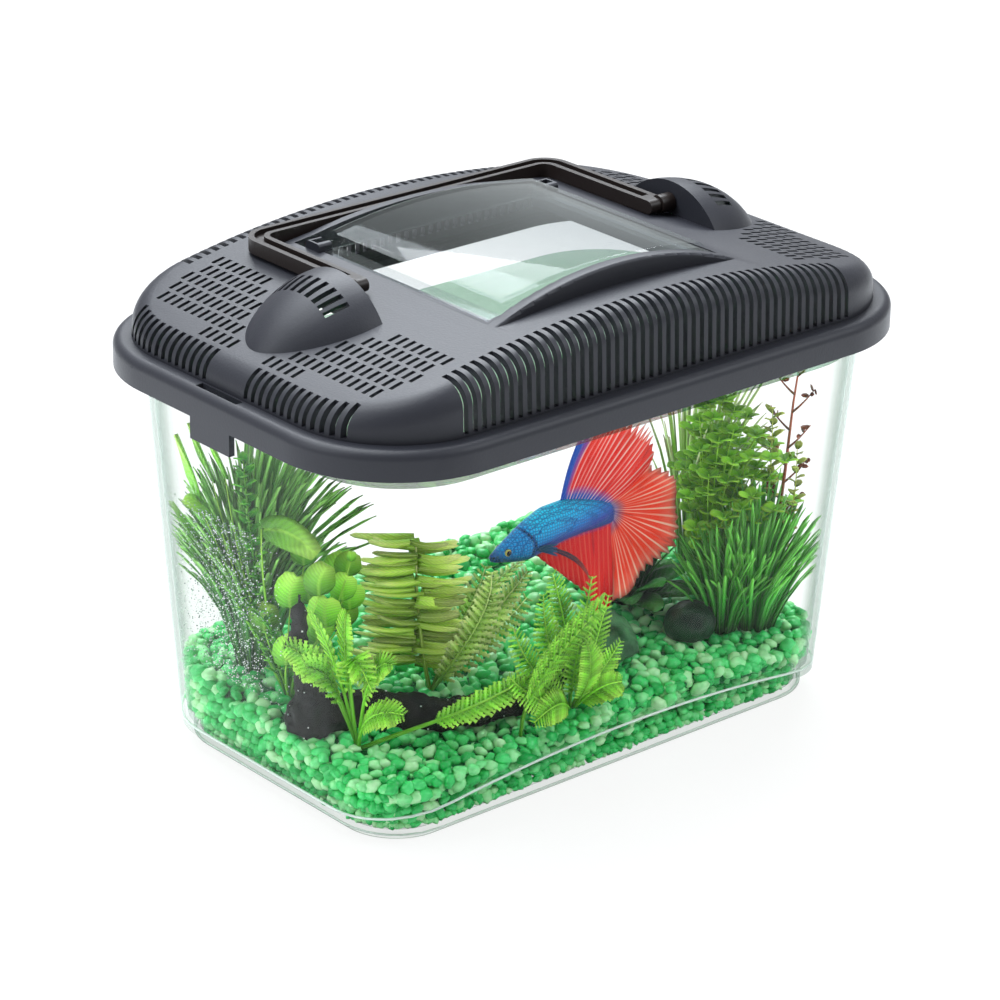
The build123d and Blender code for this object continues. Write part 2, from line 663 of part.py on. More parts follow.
# The gravel closes round each root crown
rooted = [grass_plant_left, reed_plant, grass_plant_right, grass_tuft, needle_plant, broadleaf_plant,
          clover_plant, fern_left, fern_centre, red_sprig]
gravel_bed = gravel_bed.cut(*rooted)

nodes = {
    "tank": tank, "gravel_bed": gravel_bed, "lid": lid, "hatch": hatch, "handle": handle,
    "driftwood": driftwood, "green_rock": green_rock, "round_stone": round_stone,
    "grass_plant_left": grass_plant_left, "reed_plant": reed_plant, "grass_plant_right": grass_plant_right,
    "grass_tuft": grass_tuft, "needle_plant": needle_plant, "broadleaf_plant": broadleaf_plant,
    "clover_plant": clover_plant, "fern_left": fern_left, "fern_centre": fern_centre, "red_sprig": red_sprig,
    "betta_body": betta_body, "dorsal_fin": dorsal_fin, "tail_fin": tail_fin, "anal_fin": anal_fin,
    "ventral_fins": ventral_fins, "pectoral_fins": pectoral_fins,
}
for name, solid in nodes.items():
    print(name, round(solid.volume, 1), len(solid.solids()))
    export_step(solid, "parts/" + name + ".step")
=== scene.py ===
# %% [markdown]
# # A small betta aquarium
# This lesson dresses a CAD model of a small plastic aquarium: a clear tank on
# a recessed foot, a grey slotted lid, a clear feeding hatch and a brown
# folding handle. Inside are gravel, plants, driftwood, stones and a betta.
# The frame gives every solid part at its real size, in metres, with +Z up and
# the front towards -Y. Everything added here sits in that same frame.

# %% Load the frame
import random
from math import acos, comb, copysign, cos, exp, hypot, pi, radians, sin, sqrt, tau

import bmesh
import bpy
import numpy as np
from mathutils import Matrix, Vector


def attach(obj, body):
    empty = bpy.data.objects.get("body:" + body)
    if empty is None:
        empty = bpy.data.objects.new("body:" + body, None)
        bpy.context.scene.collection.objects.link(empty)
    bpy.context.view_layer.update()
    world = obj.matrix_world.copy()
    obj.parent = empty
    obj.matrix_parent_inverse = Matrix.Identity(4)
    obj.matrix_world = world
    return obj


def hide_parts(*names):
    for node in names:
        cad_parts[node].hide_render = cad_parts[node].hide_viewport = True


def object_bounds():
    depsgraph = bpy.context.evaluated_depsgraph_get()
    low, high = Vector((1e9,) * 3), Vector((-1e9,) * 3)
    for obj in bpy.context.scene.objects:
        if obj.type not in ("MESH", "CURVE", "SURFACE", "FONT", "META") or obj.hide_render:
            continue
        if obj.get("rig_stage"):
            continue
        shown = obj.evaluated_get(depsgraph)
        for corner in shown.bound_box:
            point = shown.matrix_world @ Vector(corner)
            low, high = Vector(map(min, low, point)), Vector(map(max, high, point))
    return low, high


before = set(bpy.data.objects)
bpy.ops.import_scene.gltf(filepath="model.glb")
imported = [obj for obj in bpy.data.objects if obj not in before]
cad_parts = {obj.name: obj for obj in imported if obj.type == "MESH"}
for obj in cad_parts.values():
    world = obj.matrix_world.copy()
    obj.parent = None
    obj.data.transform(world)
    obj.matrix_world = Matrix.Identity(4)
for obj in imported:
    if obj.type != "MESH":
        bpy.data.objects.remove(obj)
cad_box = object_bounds()
MM = 0.001
random.seed(7)
bpy.ops.object.select_all(action="DESELECT")
print("nodes", sorted(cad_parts))

# %% [markdown]
# ## Camera
# A long lens keeps the tank's sides nearly parallel, as in a catalogue
# picture. The camera is described as a photographer would: where it looks,
# how far round and how high it stands, how far away it is, and a slight roll
# of the horizon. Turning those four numbers into a matrix keeps them readable
# and easy to change.

# %% Place the camera
target = Vector((-3.31, -1.28, 72.94)) * MM
azimuth = radians(-41.08)
elevation = radians(23.24)
roll = radians(1.03)
distance = 1209.5 * MM
focal_pixels = 3854.35
picture_pixels = 1000
film_width = 36

back = Vector((sin(azimuth) * cos(elevation),
               -cos(azimuth) * cos(elevation), sin(elevation)))
right = Vector((0, 0, 1)).cross(back).normalized()
up = back.cross(right)
right_rolled = right * cos(roll) + up * sin(roll)
up_rolled = up * cos(roll) - right * sin(roll)
turn = Matrix((right_rolled, up_rolled, back)).transposed().to_4x4()

bpy.ops.object.camera_add()
camera = bpy.context.object
camera.name = "camera"
camera.data.sensor_width = film_width
camera.data.lens = focal_pixels * film_width / picture_pixels
camera.data.clip_start = 0.01
camera.data.clip_end = 20
camera.matrix_world = Matrix.Translation(target + back * distance) @ turn
bpy.context.scene.camera = camera
bpy.context.scene.view_settings.view_transform = "Standard"
print("lens", round(camera.data.lens, 1), "mm")

# %% [markdown]
# ## Floor, backdrop and light
# The studio is plain white. A floor that shows pure white to the camera but
# stays an ordinary pale surface to everything else keeps the soft shadow and
# still gives the bright, clean background of a catalogue picture. Four
# softboxes light it: one above, one behind that the top of the lid catches,
# and two weaker ones at the left and the front. The world fills the rest.
# Every finish is a small tree of nodes, so a short class does the adding and
# joining, and each material below reads like a recipe.

# %% Build the studio
bpy.ops.mesh.primitive_plane_add(size=8, location=(0, 0, -0.0002))
floor = bpy.context.object
floor.name = "floor"
floor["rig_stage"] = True


class Paint:
    """A material, or the world, with short ways to add and join its nodes."""

    def __init__(self, block):
        self.block = bpy.data.materials.new(block) if isinstance(block, str) else block
        self.block.use_nodes = True
        self.nodes = self.block.node_tree.nodes
        self.shader = self.nodes.get("Principled BSDF")

    def feed(self, node, sockets):
        """Give each socket a constant, or a link from a node or an output."""
        for name, value in sockets.items():
            socket = node.inputs[name]
            if isinstance(value, bpy.types.Node):
                value = value.outputs[0]
            if isinstance(value, bpy.types.NodeSocket):
                self.block.node_tree.links.new(value, socket)
            elif socket.type == "RGBA":
                socket.default_value = (*value, 1)
            else:
                socket.default_value = value
        return node

    def add(self, kind, sockets=None, **settings):
        """A new node with its settings and sockets."""
        node = self.nodes.new("ShaderNode" + kind)
        for key, value in settings.items():
            setattr(node, key, value)
        return self.feed(node, sockets or {})

    def calc(self, operation, *values, clamp=False):
        """The result of a Math node."""
        return self.add("Math", dict(enumerate(values)), operation=operation, use_clamp=clamp).outputs[0]

    def span(self, value, low, high, start=0.0, end=1.0):
        """A value brought from the range low to high to the range start to end."""
        ends = {"Value": value, "From Min": low, "From Max": high, "To Min": start, "To Max": end}
        return self.add("MapRange", ends).outputs["Result"]

    def ramp(self, value, stops):
        """A colour ramp, with a colour at each position."""
        node = self.add("ValToRGB", {"Fac": value})
        marks = node.color_ramp.elements
        while len(marks) < len(stops):
            marks.new(0.5)
        for mark, (position, colour) in zip(marks, stops):
            mark.position = position
            mark.color = (*colour, 1)
        return node.outputs["Color"]

    def blend(self, share, first, second):
        """Two colours blended by a share."""
        return self.add("Mix", {"Factor": share, "A": first, "B": second}, data_type="RGBA").outputs["Result"]

    def mixed(self, share, first, second):
        """Two shaders mixed by a share."""
        return self.add("MixShader", {0: share, 1: first, 2: second})

    def brighter(self, colour, factor):
        """A colour made brighter or darker by a factor."""
        return self.add("HueSaturation", {"Color": colour, "Value": factor}).outputs["Color"]

    def place(self):
        """Object coordinates, which move with the piece."""
        return self.add("TexCoord").outputs["Object"]

    def noise(self, scale, detail=2, place=None):
        """A cloudy pattern, on Object coordinates unless told otherwise."""
        sockets = {"Scale": scale, "Detail": detail, "Vector": place or self.place()}
        return self.add("TexNoise", sockets).outputs["Fac"]

    def number(self, name):
        """A number that the mesh carries at each point."""
        return self.add("Attribute", attribute_name=name).outputs["Fac"]

    def bump(self, height, strength, distance):
        """Relief on the main shader."""
        relief = self.add("Bump", {"Strength": strength, "Distance": distance, "Height": height})
        self.feed(self.shader, {"Normal": relief})

    def finish(self, sockets):
        """Set the main shader's sockets and give the material back."""
        self.feed(self.shader, sockets)
        return self.block

    def surface(self, shader):
        """Use another shader as the surface and give the material back."""
        output = self.nodes.get("Material Output") or self.nodes["World Output"]
        self.feed(output, {"Surface": shader})
        return self.block


def seen_directly(paint):
    """A socket that is 1 for rays that come from the camera or through glass."""
    rays = paint.add("LightPath").outputs
    return paint.calc("MAXIMUM", rays["Is Camera Ray"], rays["Is Transmission Ray"])


paint = Paint("studio_floor")
paint.feed(paint.shader, {"Base Color": (0.86, 0.86, 0.86), "Roughness": 0.9, "Specular IOR Level": 0.1})
white_share = paint.calc("MULTIPLY", seen_directly(paint), 0.88)
floor.data.materials.append(paint.surface(paint.mixed(white_share, paint.shader, paint.add("Emission"))))

world = bpy.data.worlds.new("studio")
bpy.context.scene.world = world
air = Paint(world)
sky = air.feed(air.nodes["Background"], {"Color": (1, 1, 1), "Strength": 0.46})
air.surface(air.mixed(seen_directly(air), sky, air.add("Background", {"Color": (1, 1, 1)})))


def softbox(name, place, aim, size, power):
    """A square area lamp that points at a place."""
    bpy.ops.object.light_add(type="AREA", location=place)
    lamp = bpy.context.object
    lamp.name = name
    lamp.data.size = size
    lamp.data.energy = power
    lamp.data.color = (0.90, 0.95, 1.0)
    lamp.rotation_euler = (Vector(aim) - Vector(place)).to_track_quat("-Z", "Y").to_euler()
    return lamp


softbox("top_softbox", (-0.25, 0.35, 1.2), (0, 0, 0.1), 0.9, 20)
softbox("back_softbox", (0.61, 0.70, 1.22), (0, 0, 0.1), 1.0, 38)
softbox("left_softbox", (-1.3, 0.35, 0.9), (0, 0, 0.08), 0.7, 9)
softbox("front_softbox", (1.0, -1.1, 1.3), (0, 0, 0.07), 0.8, 15)
print("studio ready")

# %% [markdown]
# ## Working with modelled meshes
# A few small helpers serve every piece. One copies a CAD part, joins its
# loose triangles and shades it smooth by angle, so that flat walls stay crisp
# and curves turn softly. One settles a finished piece: its place goes into
# its mesh, it rides on its body and it takes its finish. One repeats a
# modelled grain many times inside a single mesh, which keeps a bed of gravel
# light and gives every grain a random number, its tint, for the paint to use.

# %% Mesh helpers
def pick(*objects):
    """Select only these objects, with the first one active."""
    bpy.ops.object.select_all(action="DESELECT")
    for item in objects:
        item.select_set(True)
    bpy.context.view_layer.objects.active = objects[0]


def edit_all():
    """Enter edit mode on the active object, with all of its mesh selected."""
    bpy.ops.object.mode_set(mode="EDIT")
    bpy.ops.mesh.select_all(action="SELECT")


def edit_done():
    """Leave edit mode."""
    bpy.ops.object.mode_set(mode="OBJECT")


def apply_place():
    """Bake the selected objects' place, turn and size into their meshes."""
    bpy.ops.object.transform_apply(location=True, rotation=True, scale=True)


def copy_of(node, name, angle=30):
    """A merged, smoothly shaded copy of a CAD part."""
    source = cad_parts[node]
    piece = source.copy()
    piece.data = source.data.copy()
    piece.name = name
    piece.parent = None
    piece.matrix_world = Matrix.Identity(4)
    for key in list(piece.keys()):
        if key.startswith("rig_"):
            del piece[key]
    bpy.context.scene.collection.objects.link(piece)
    piece.data.materials.clear()
    pick(piece)
    edit_all()
    bpy.ops.mesh.customdata_custom_splitnormals_clear()
    bpy.ops.mesh.remove_doubles(threshold=0.00001)
    edit_done()
    bpy.ops.object.shade_smooth_by_angle(angle=radians(angle))
    return piece


def settle(piece, body, slot, material, *nodes):
    """Bake a piece's place into its mesh, paint it, and attach it to its body."""
    pick(piece)
    apply_place()
    piece.data.materials.clear()
    piece.data.materials.append(material)
    if nodes:
        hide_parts(*nodes)
    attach(piece, body)
    size = piece.dimensions * 1000
    print(piece.name, len(piece.data.polygons), "faces", [round(s, 1) for s in size])
    return piece


def modifier(piece, kind, **settings):
    """Add a modifier with its settings and apply it."""
    pick(piece)
    step = piece.modifiers.new(kind.lower(), kind)
    for key, value in settings.items():
        setattr(step, key, value)
    bpy.ops.object.modifier_apply(modifier=step.name)


def new_mesh(name, points, faces, **attributes):
    """A mesh object from points and faces, with one number per point in each attribute."""
    mesh = bpy.data.meshes.new(name)
    mesh.from_pydata(np.asarray(points).tolist(), [], faces)
    mesh.update()
    for key, values in attributes.items():
        layer = mesh.attributes.new(key, "FLOAT", "POINT")
        layer.data.foreach_set("value", np.asarray(values, dtype=float))
    mesh.shade_smooth()
    piece = bpy.data.objects.new(name, mesh)
    bpy.context.scene.collection.objects.link(piece)
    return piece


def shape_of(model):
    """The points and the faces of a modelled object."""
    return np.array([v.co for v in model.data.vertices]), [tuple(p.vertices) for p in model.data.polygons]


def repeat(models, places, name):
    """One mesh made of many copies of modelled objects, one per matrix."""
    shapes = [shape_of(model) for model in models]
    points, faces, tints, start = [], [], [], 0
    for place in places:
        corners, sides = random.choice(shapes)
        matrix = np.array(place)
        points.append(corners @ matrix[:3, :3].T + matrix[:3, 3])
        faces += [tuple(start + i for i in side) for side in sides]
        tints += [random.random()] * len(corners)
        start += len(corners)
    return new_mesh(name, np.concatenate(points), faces, tint=tints)


def discard(*models):
    """Remove modelled objects that have been repeated."""
    for model in models:
        bpy.data.objects.remove(model)


# %% [markdown]
# ## Where things stand
# The tank's inside is a rounded rectangle that widens as it rises, and the
# gravel's top is a gentle slope. Two formulas give both, so every grain and
# every leaf can be kept inside the walls, whatever a random draw asks for. A
# third gives the arched step that the foot shows along its front and back.

# %% Inside of the tank and level of the gravel
draft = 0.0805
half_length, half_width, corner = 93.9 * MM, 56.35 * MM, 22.3 * MM
leaf_gap = 0.8 * MM


def inside_at(z, gap=0.0):
    """Half the length, half the width and the corner radius of the inside at a height."""
    rise = draft * z - gap
    return half_length + rise, half_width + rise, corner + rise


def ground(x, y):
    """Level of the gravel, in metres, at a place in metres."""
    a, b = x / MM, y / MM
    return (25 + 0.02 * a + 0.1 * b + 0.8 * sin(a / 28) * cos(b / 35)) * MM


def kept_inside(point, gap):
    """Pull a point back inside the tank's drafted, rounded walls."""
    x, y, z = point
    half_x, half_y, radius = inside_at(z, gap)
    x = max(-half_x, min(half_x, x))
    y = max(-half_y, min(half_y, y))
    over_x, over_y = abs(x) - (half_x - radius), abs(y) - (half_y - radius)
    if over_x > 0 and over_y > 0:
        reach = hypot(over_x, over_y)
        if reach > radius:
            x = copysign(half_x - radius + over_x * radius / reach, x)
            y = copysign(half_y - radius + over_y * radius / reach, y)
    return Vector((x, y, z))


def arch(x):
    """Height of the foot's arched step, both in millimetres."""
    return 16 - x ** 2 / 1130


print("gravel level in the middle", round(ground(0, 0) / MM, 1), "mm")

# %% [markdown]
# ## Moulded plastic
# The lid and the handle are injection-moulded plastic with a fine satin
# texture from the mould. A faint, very small noise in the bump and in the
# roughness gives that sheen. The colour stays even, only a little paler where
# a slow noise drifts across it, as real mouldings show.

# %% Plastic materials
def moulded_plastic(name, colour, roughness, grain, depth):
    """Satin plastic with a fine mould texture."""
    paint = Paint(name)
    shade = paint.ramp(paint.noise(18), ((0, [c * 0.92 for c in colour]), (1, [c * 1.08 for c in colour])))
    fine = paint.noise(grain, 3)
    paint.bump(fine, depth, 0.0002)
    satin = paint.span(fine, 0, 1, roughness - 0.05, roughness + 0.05)
    return paint.finish({"Base Color": shade, "Roughness": satin, "Specular IOR Level": 0.26})


lid_plastic = moulded_plastic("slate_plastic", (0.018, 0.019, 0.025), 0.46, 1400, 0.25)
handle_plastic = moulded_plastic("brown_black_plastic", (0.012, 0.008, 0.007), 0.42, 1400, 0.2)

# %% Dress the lid and the handle
def dress(part, name, slot, material, angle):
    """Settle a smooth copy of the CAD part that gives a body its name."""
    settle(copy_of(part, name, angle), part, slot, material, part)


dress("lid", "lid_moulding", "lid_plastic", lid_plastic, 30)
dress("handle", "bail_handle", "handle_plastic", handle_plastic, 30)

# %% [markdown]
# ## Clear plastic
# The tank and the hatch are clear polystyrene. Straight on it is nearly
# invisible, and near its edges it turns milky and bright. The walls are two
# real surfaces two millimetres apart, so a thin-wall look works well: mostly
# see-through, with a gloss that grows at a glancing angle and a faint haze.
# A Layer Weight node gives that growth on both faces of a wall, and the lamps
# pass straight through, so what stands inside stays bright.

# %% Clear material
def clear_plastic(name, haze_head_on, haze_glancing, gloss_glancing, head_on, glancing):
    """Clear plastic: see-through, with glancing gloss and a milky edge."""
    paint = Paint(name)
    paint.nodes.remove(paint.shader)
    facing = paint.add("LayerWeight", {"Blend": 0.5}).outputs["Facing"]
    through = paint.add("BsdfTransparent", {"Color": paint.ramp(facing, ((0.45, head_on), (0.92, glancing)))})
    milk = paint.add("BsdfDiffuse", {"Color": (0.80, 0.84, 0.82)})
    gloss = paint.add("BsdfGlossy", {"Color": (1, 1, 1), "Roughness": 0.04})
    steep = paint.calc("POWER", facing, 6)
    misty = paint.mixed(paint.span(steep, 0, 1, haze_head_on, haze_glancing), through, milk)
    shine = paint.calc("MULTIPLY_ADD", steep, gloss_glancing, 0.003)
    return paint.surface(paint.mixed(shine, misty, gloss))


clear_wall = clear_plastic("clear_wall", 0.001, 0.30, 0.6, (0.992, 0.998, 0.995), (0.45, 0.53, 0.47))
clear_hatch = clear_plastic("clear_hatch", 0.002, 0.25, 0.6, (0.95, 0.96, 0.96), (0.55, 0.58, 0.60))

# %% Dress the tank and the hatch
dress("tank", "clear_tank", "clear_plastic", clear_wall, 40)
dress("hatch", "clear_hatch_cover", "clear_plastic", clear_hatch, 40)

# %% [markdown]
# The moulded step round the foot and the bottom edge catch the light as thin
# bright lines. Each line is painted highlight: a slim round bead of pale,
# partly see-through colour laid on the outer wall, a curve through places
# found on the wall, thickened and turned into a mesh.

# %% Painted highlights on the edges of the foot
def highlight_bead(name, height, outward, thick):
    """A thin bead of painted highlight round the tank's outside at a height that may vary with x, in
    millimetres.
    """
    points, knots, outside = [], 240, 0.3
    for index in range(knots):
        turn = tau * index / knots
        far = (outside * cos(turn), outside * sin(turn) * 0.62)
        spot = kept_inside((*far, 0.01), -outward * MM)
        points.append(kept_inside((*far, height(spot.x / MM) * MM), -outward * MM))
    curve = bpy.data.curves.new(name, "CURVE")
    curve.dimensions = "3D"
    line = curve.splines.new("POLY")
    line.points.add(len(points) - 1)
    for knot, place in zip(line.points, points):
        knot.co = (*place, 1)
    line.use_cyclic_u = True
    curve.bevel_depth = thick * MM
    curve.bevel_resolution = 1
    bead = bpy.data.objects.new(name, curve)
    bpy.context.scene.collection.objects.link(bead)
    pick(bead)
    bpy.ops.object.convert(target="MESH")
    bpy.ops.object.shade_smooth()
    return bpy.context.object


# The beads' pale green-white colour is painted highlight along the foot's step and bottom edge.
paint = Paint("painted_edge_highlight")
tones = paint.ramp(paint.noise(40), ((0, (0.62, 0.74, 0.66)), (1, (0.96, 1.0, 0.97))))
glint = paint.finish({"Base Color": tones, "Roughness": 0.15, "Alpha": 0.72})
settle(highlight_bead("step_edge_highlight", lambda x: arch(x) + 0.3, 1.65, 0.42), "tank", "clear_plastic", glint)
settle(highlight_bead("bottom_edge_highlight", lambda x: 1.6, -2.2, 0.32), "tank", "clear_plastic", glint)

# %% [markdown]
# ## Water
# The tank is filled to just under the lid's skirt. Seen from above, through
# the hatch, water bends the view down to the green gravel. It is one flat
# sheet, a plane with its corners bevelled round to fit inside the walls. Its
# shader is part refraction and part clear, so lamps still reach the plants.

# %% Water surface
water_z = 119 * MM
edge_gap = 0.5 * MM
half_x, half_y, radius = inside_at(water_z)
bpy.ops.mesh.primitive_plane_add(size=2, location=(0, 0, water_z))
water = bpy.context.object
water.name = "water_surface"
water.scale = (half_x - edge_gap, half_y - edge_gap, 1)
pick(water)
apply_place()
edit_all()
bpy.ops.mesh.bevel(offset=radius, segments=12, affect="VERTICES")
edit_done()
paint = Paint("still_water")
paint.nodes.remove(paint.shader)
relief = paint.add("Bump", {"Strength": 0.2, "Distance": 0.002, "Height": paint.noise(30)})
bent = paint.add("BsdfRefraction", {"Color": (0.20, 0.44, 0.28), "IOR": 1.33, "Roughness": 0.02,
                                    "Normal": relief})
mirror = paint.add("BsdfGlossy", {"Roughness": 0.03, "Normal": relief})
mostly_bent = paint.mixed(0.72, paint.add("BsdfTransparent"), bent)
glancing = paint.add("LayerWeight", {"Blend": 0.2}).outputs["Fresnel"]
water_paint = paint.surface(paint.mixed(glancing, mostly_bent, mirror))
settle(water, "tank", "clear_plastic", water_paint)


# %% [markdown]
# ## Gravel
# Aquarium gravel is a heap of coloured chips, four to six millimetres across,
# with worn corners. One chip is a coarse sphere whose points are jogged at
# random and flattened. Three chips are modelled, then repeated with their own
# turn, size and tint: two loose layers on top, and rows against the walls,
# where the clear plastic shows them. The lowest row, in the foot, is of small
# grains. A core made from the CAD bed fills the middle, so no light leaks
# between the chips, and it is painted darker than the chips as painted shade
# in the gaps between them.

# %% Model three chips
def chip(seed):
    """A worn chip of stone, one unit across."""
    bpy.ops.mesh.primitive_uv_sphere_add(segments=7, ring_count=5, radius=0.5)
    stone = bpy.context.object
    edit_all()
    bpy.ops.transform.vertex_random(offset=0.13, uniform=0.4, seed=seed)
    bpy.ops.transform.resize(value=(1.15, 0.9, 0.7))
    edit_done()
    return stone


chips = [chip(seed) for seed in (3, 11, 29)]
print("faces in a chip", len(chips[0].data.polygons))

# %% Heap the chips
pitch = 4.1 * MM


def near(spread):
    """A random number at most this far from zero."""
    return random.uniform(-spread, spread)


def grain_place(place, size):
    """A matrix that sets a chip of a size in millimetres down with a random turn."""
    spin = Matrix.Rotation(random.uniform(0, tau), 4, "Z")
    tip = Matrix.Rotation(near(0.7), 4, "X") @ Matrix.Rotation(near(0.7), 4, "Y")
    return Matrix.Translation(place) @ tip @ spin @ Matrix.Scale(size * MM, 4)


places = []
for drop, size in ((0.4, 4.6), (3.2, 5.2)):
    for row in range(-15, 16):
        for column in range(-25, 26):
            x = (column + 0.5 * (row % 2) + near(0.28)) * pitch
            y = (row * 0.9 + near(0.28)) * pitch
            wanted = Vector((x, y, ground(x, y) - (drop + random.uniform(0, 1.3)) * MM))
            spot = kept_inside(wanted, 2.6 * MM)
            if (spot - wanted).length < 0.3 * MM:
                places.append(grain_place(spot, random.uniform(0.8, 1.15) * size))
top_grains = len(places)

# %% Line the walls with chips
# Above the arched step a chip touches the wall. Below it the foot stands back
# by 3.9 mm, and so do the chips. Places start beyond the walls and are pulled in.
beyond = 0.2
arch_low = 7.5 * MM
above_step = 3.1 * MM
foot_inset = 3.9
# Each row: its height, the gap from chip to chip and their size, in millimetres.
wall_rows = [(3.2, 2.2, 2.7)] + [(4.6 + 3.2 * row, 3.5, 4.5) for row in range(8)]
for rank, (low, gap, size) in enumerate(wall_rows):
    along, across = int(95 / gap), int(60 / gap)
    gap *= MM
    offset = 0.5 * (rank % 2)
    around = [((k + offset) * gap, side * beyond) for k in range(-along, along + 1) for side in (-1, 1)]
    around += [(side * beyond, (k + offset) * gap) for k in range(-across, across + 1) for side in (-1, 1)]
    for x, y in around:
        x += near(0.25) * gap
        y += near(0.25) * gap
        height = (low + random.uniform(-0.06, 0.18) * size) * MM
        step = arch(x / MM) * MM if abs(x) < 0.9 * beyond else arch_low
        inset = 0.53 * size if height > step + above_step else foot_inset + 0.57 * size
        spot = kept_inside((x, y, height), inset * MM)
        if height < ground(spot.x, spot.y) - 1 * MM:
            places.append(grain_place(spot, random.uniform(0.85, 1.2) * size))
print("chips on top", top_grains, "chips against the walls", len(places) - top_grains)

# %% [markdown]
# The paint of the chips comes from each chip's tint: most are emerald, some
# are deep green and some are pale, as dyed gravel always is. A small noise
# mottles each chip, and a soft gloss makes them look wet.

# %% Gravel paint
def chip_paint(name, stops, roughness):
    """Dyed stone, coloured by each chip's tint and mottled by noise; darker stops give the core's painted
    shade.
    """
    paint = Paint(name)
    mottle = paint.noise(420)
    shift = paint.calc("MULTIPLY_ADD", mottle, 0.5, -0.25)
    tone = paint.ramp(paint.calc("ADD", paint.number("tint"), shift, clamp=True), stops)
    paint.bump(mottle, 0.3, 0.0003)
    return paint.finish({"Base Color": tone, "Roughness": roughness})


gravel_paint = chip_paint("emerald_gravel", ((0.0, (0.0, 0.42, 0.07)), (0.5, (0.07, 0.74, 0.19)),
                                             (1.0, (0.55, 0.92, 0.50))), 0.35)
# The core's darker greens are painted shade for the gaps between the chips.
core_shade_paint = chip_paint("gravel_core_painted_shade", ((0.0, (0.0, 0.16, 0.04)), (0.5, (0.01, 0.30, 0.08)),
                                         (1.0, (0.05, 0.42, 0.12))), 0.8)

# %% Lay the gravel
core = copy_of("gravel_bed", "gravel_core")
heap = repeat(chips, places[:top_grains], "gravel_heap")
settle(heap, "tank", "gravel", gravel_paint, "gravel_bed")
rows = repeat(chips, places[top_grains:], "gravel_wall_rows")
settle(rows, "tank", "gravel", gravel_paint, "gravel_bed")
discard(*chips)
pick(core)
edit_all()
bpy.ops.transform.resize(value=(0.945, 0.915, 0.90), center_override=(0, 0, 0.003))
edit_done()
settle(core, "tank", "gravel", core_shade_paint, "gravel_bed")

# %% [markdown]
# ## Driftwood and stones
# The wood is nearly black, knobbly and pitted. The CAD limb has the right
# course but flat sides, so its copy is remeshed into small even faces and
# pushed in and out by two cloud patterns, a slow one for knobs and a fine one
# for the grain. The two stones are treated the same way, more gently. This is
# quicker than sculpting and gives the same result each time.

# %% Roughen a hard piece
def roughened(piece, voxel, knobs, knob_size, grain, grain_size):
    """Remesh a copy finely and push it in and out with cloud patterns."""
    piece.data.remesh_voxel_size = voxel
    modifier(piece, "REMESH", mode="VOXEL", voxel_size=voxel)
    for number, (strength, size) in enumerate(((knobs, knob_size), (grain, grain_size))):
        clouds = bpy.data.textures.new(piece.name + "_clouds_" + str(number), "CLOUDS")
        clouds.noise_scale = size
        modifier(piece, "DISPLACE", texture=clouds, strength=strength, mid_level=0.5, texture_coords="LOCAL")
        bpy.data.textures.remove(clouds)
    modifier(piece, "SMOOTH", factor=0.5, iterations=1)
    bpy.ops.object.shade_smooth()
    return piece


def rough_paint(name, dark, light, scale, roughness, depth):
    """A natural surface: two tones mixed by noise, darker in its pits."""
    paint = Paint(name)
    cloud = paint.noise(scale, 6)
    tone = paint.ramp(cloud, ((0.35, dark), (0.72, light)))
    paint.bump(cloud, depth, 0.0006)
    return paint.finish({"Base Color": tone, "Roughness": roughness, "Specular IOR Level": 0.25})


# %% Finish the wood and the stones
wood = roughened(copy_of("driftwood", "driftwood_limbs"), 0.0010, 0.0050, 0.008, 0.0020, 0.0028)
settle(wood, "tank", "driftwood", rough_paint("black_wood", (0.0015, 0.0012, 0.0012), (0.011, 0.008, 0.007),
                                              260, 0.62, 0.6), "driftwood")
rock = roughened(copy_of("green_rock", "mossy_rock"), 0.0009, 0.0035, 0.010, 0.0010, 0.0022)
settle(rock, "tank", "green_glass_rock", rough_paint("moss_green_rock", (0.006, 0.050, 0.016),
                                                     (0.09, 0.26, 0.11), 130, 0.35, 0.5), "green_rock")
stone = roughened(copy_of("round_stone", "round_pebble"), 0.0009, 0.0012, 0.012, 0.0004, 0.0030)
settle(stone, "tank", "dark_stone", rough_paint("green_black_stone", (0.003, 0.014, 0.006),
                                                (0.012, 0.055, 0.022), 180, 0.4, 0.4), "round_stone")

# %% [markdown]
# ## Leaves
# All the plants are moulded plastic, so one kind of leaf repeats many times.
# Each kind is modelled once from a grid: every row of points is scaled to the
# leaf's outline, the middle column is lifted into a midrib, and a Solidify
# modifier gives it body. Modelling each of the leaves by hand would take days,
# and a particle system wouldn't follow the real plants, so the modelled leaf
# is bent along a path of its own for every place where one grows.

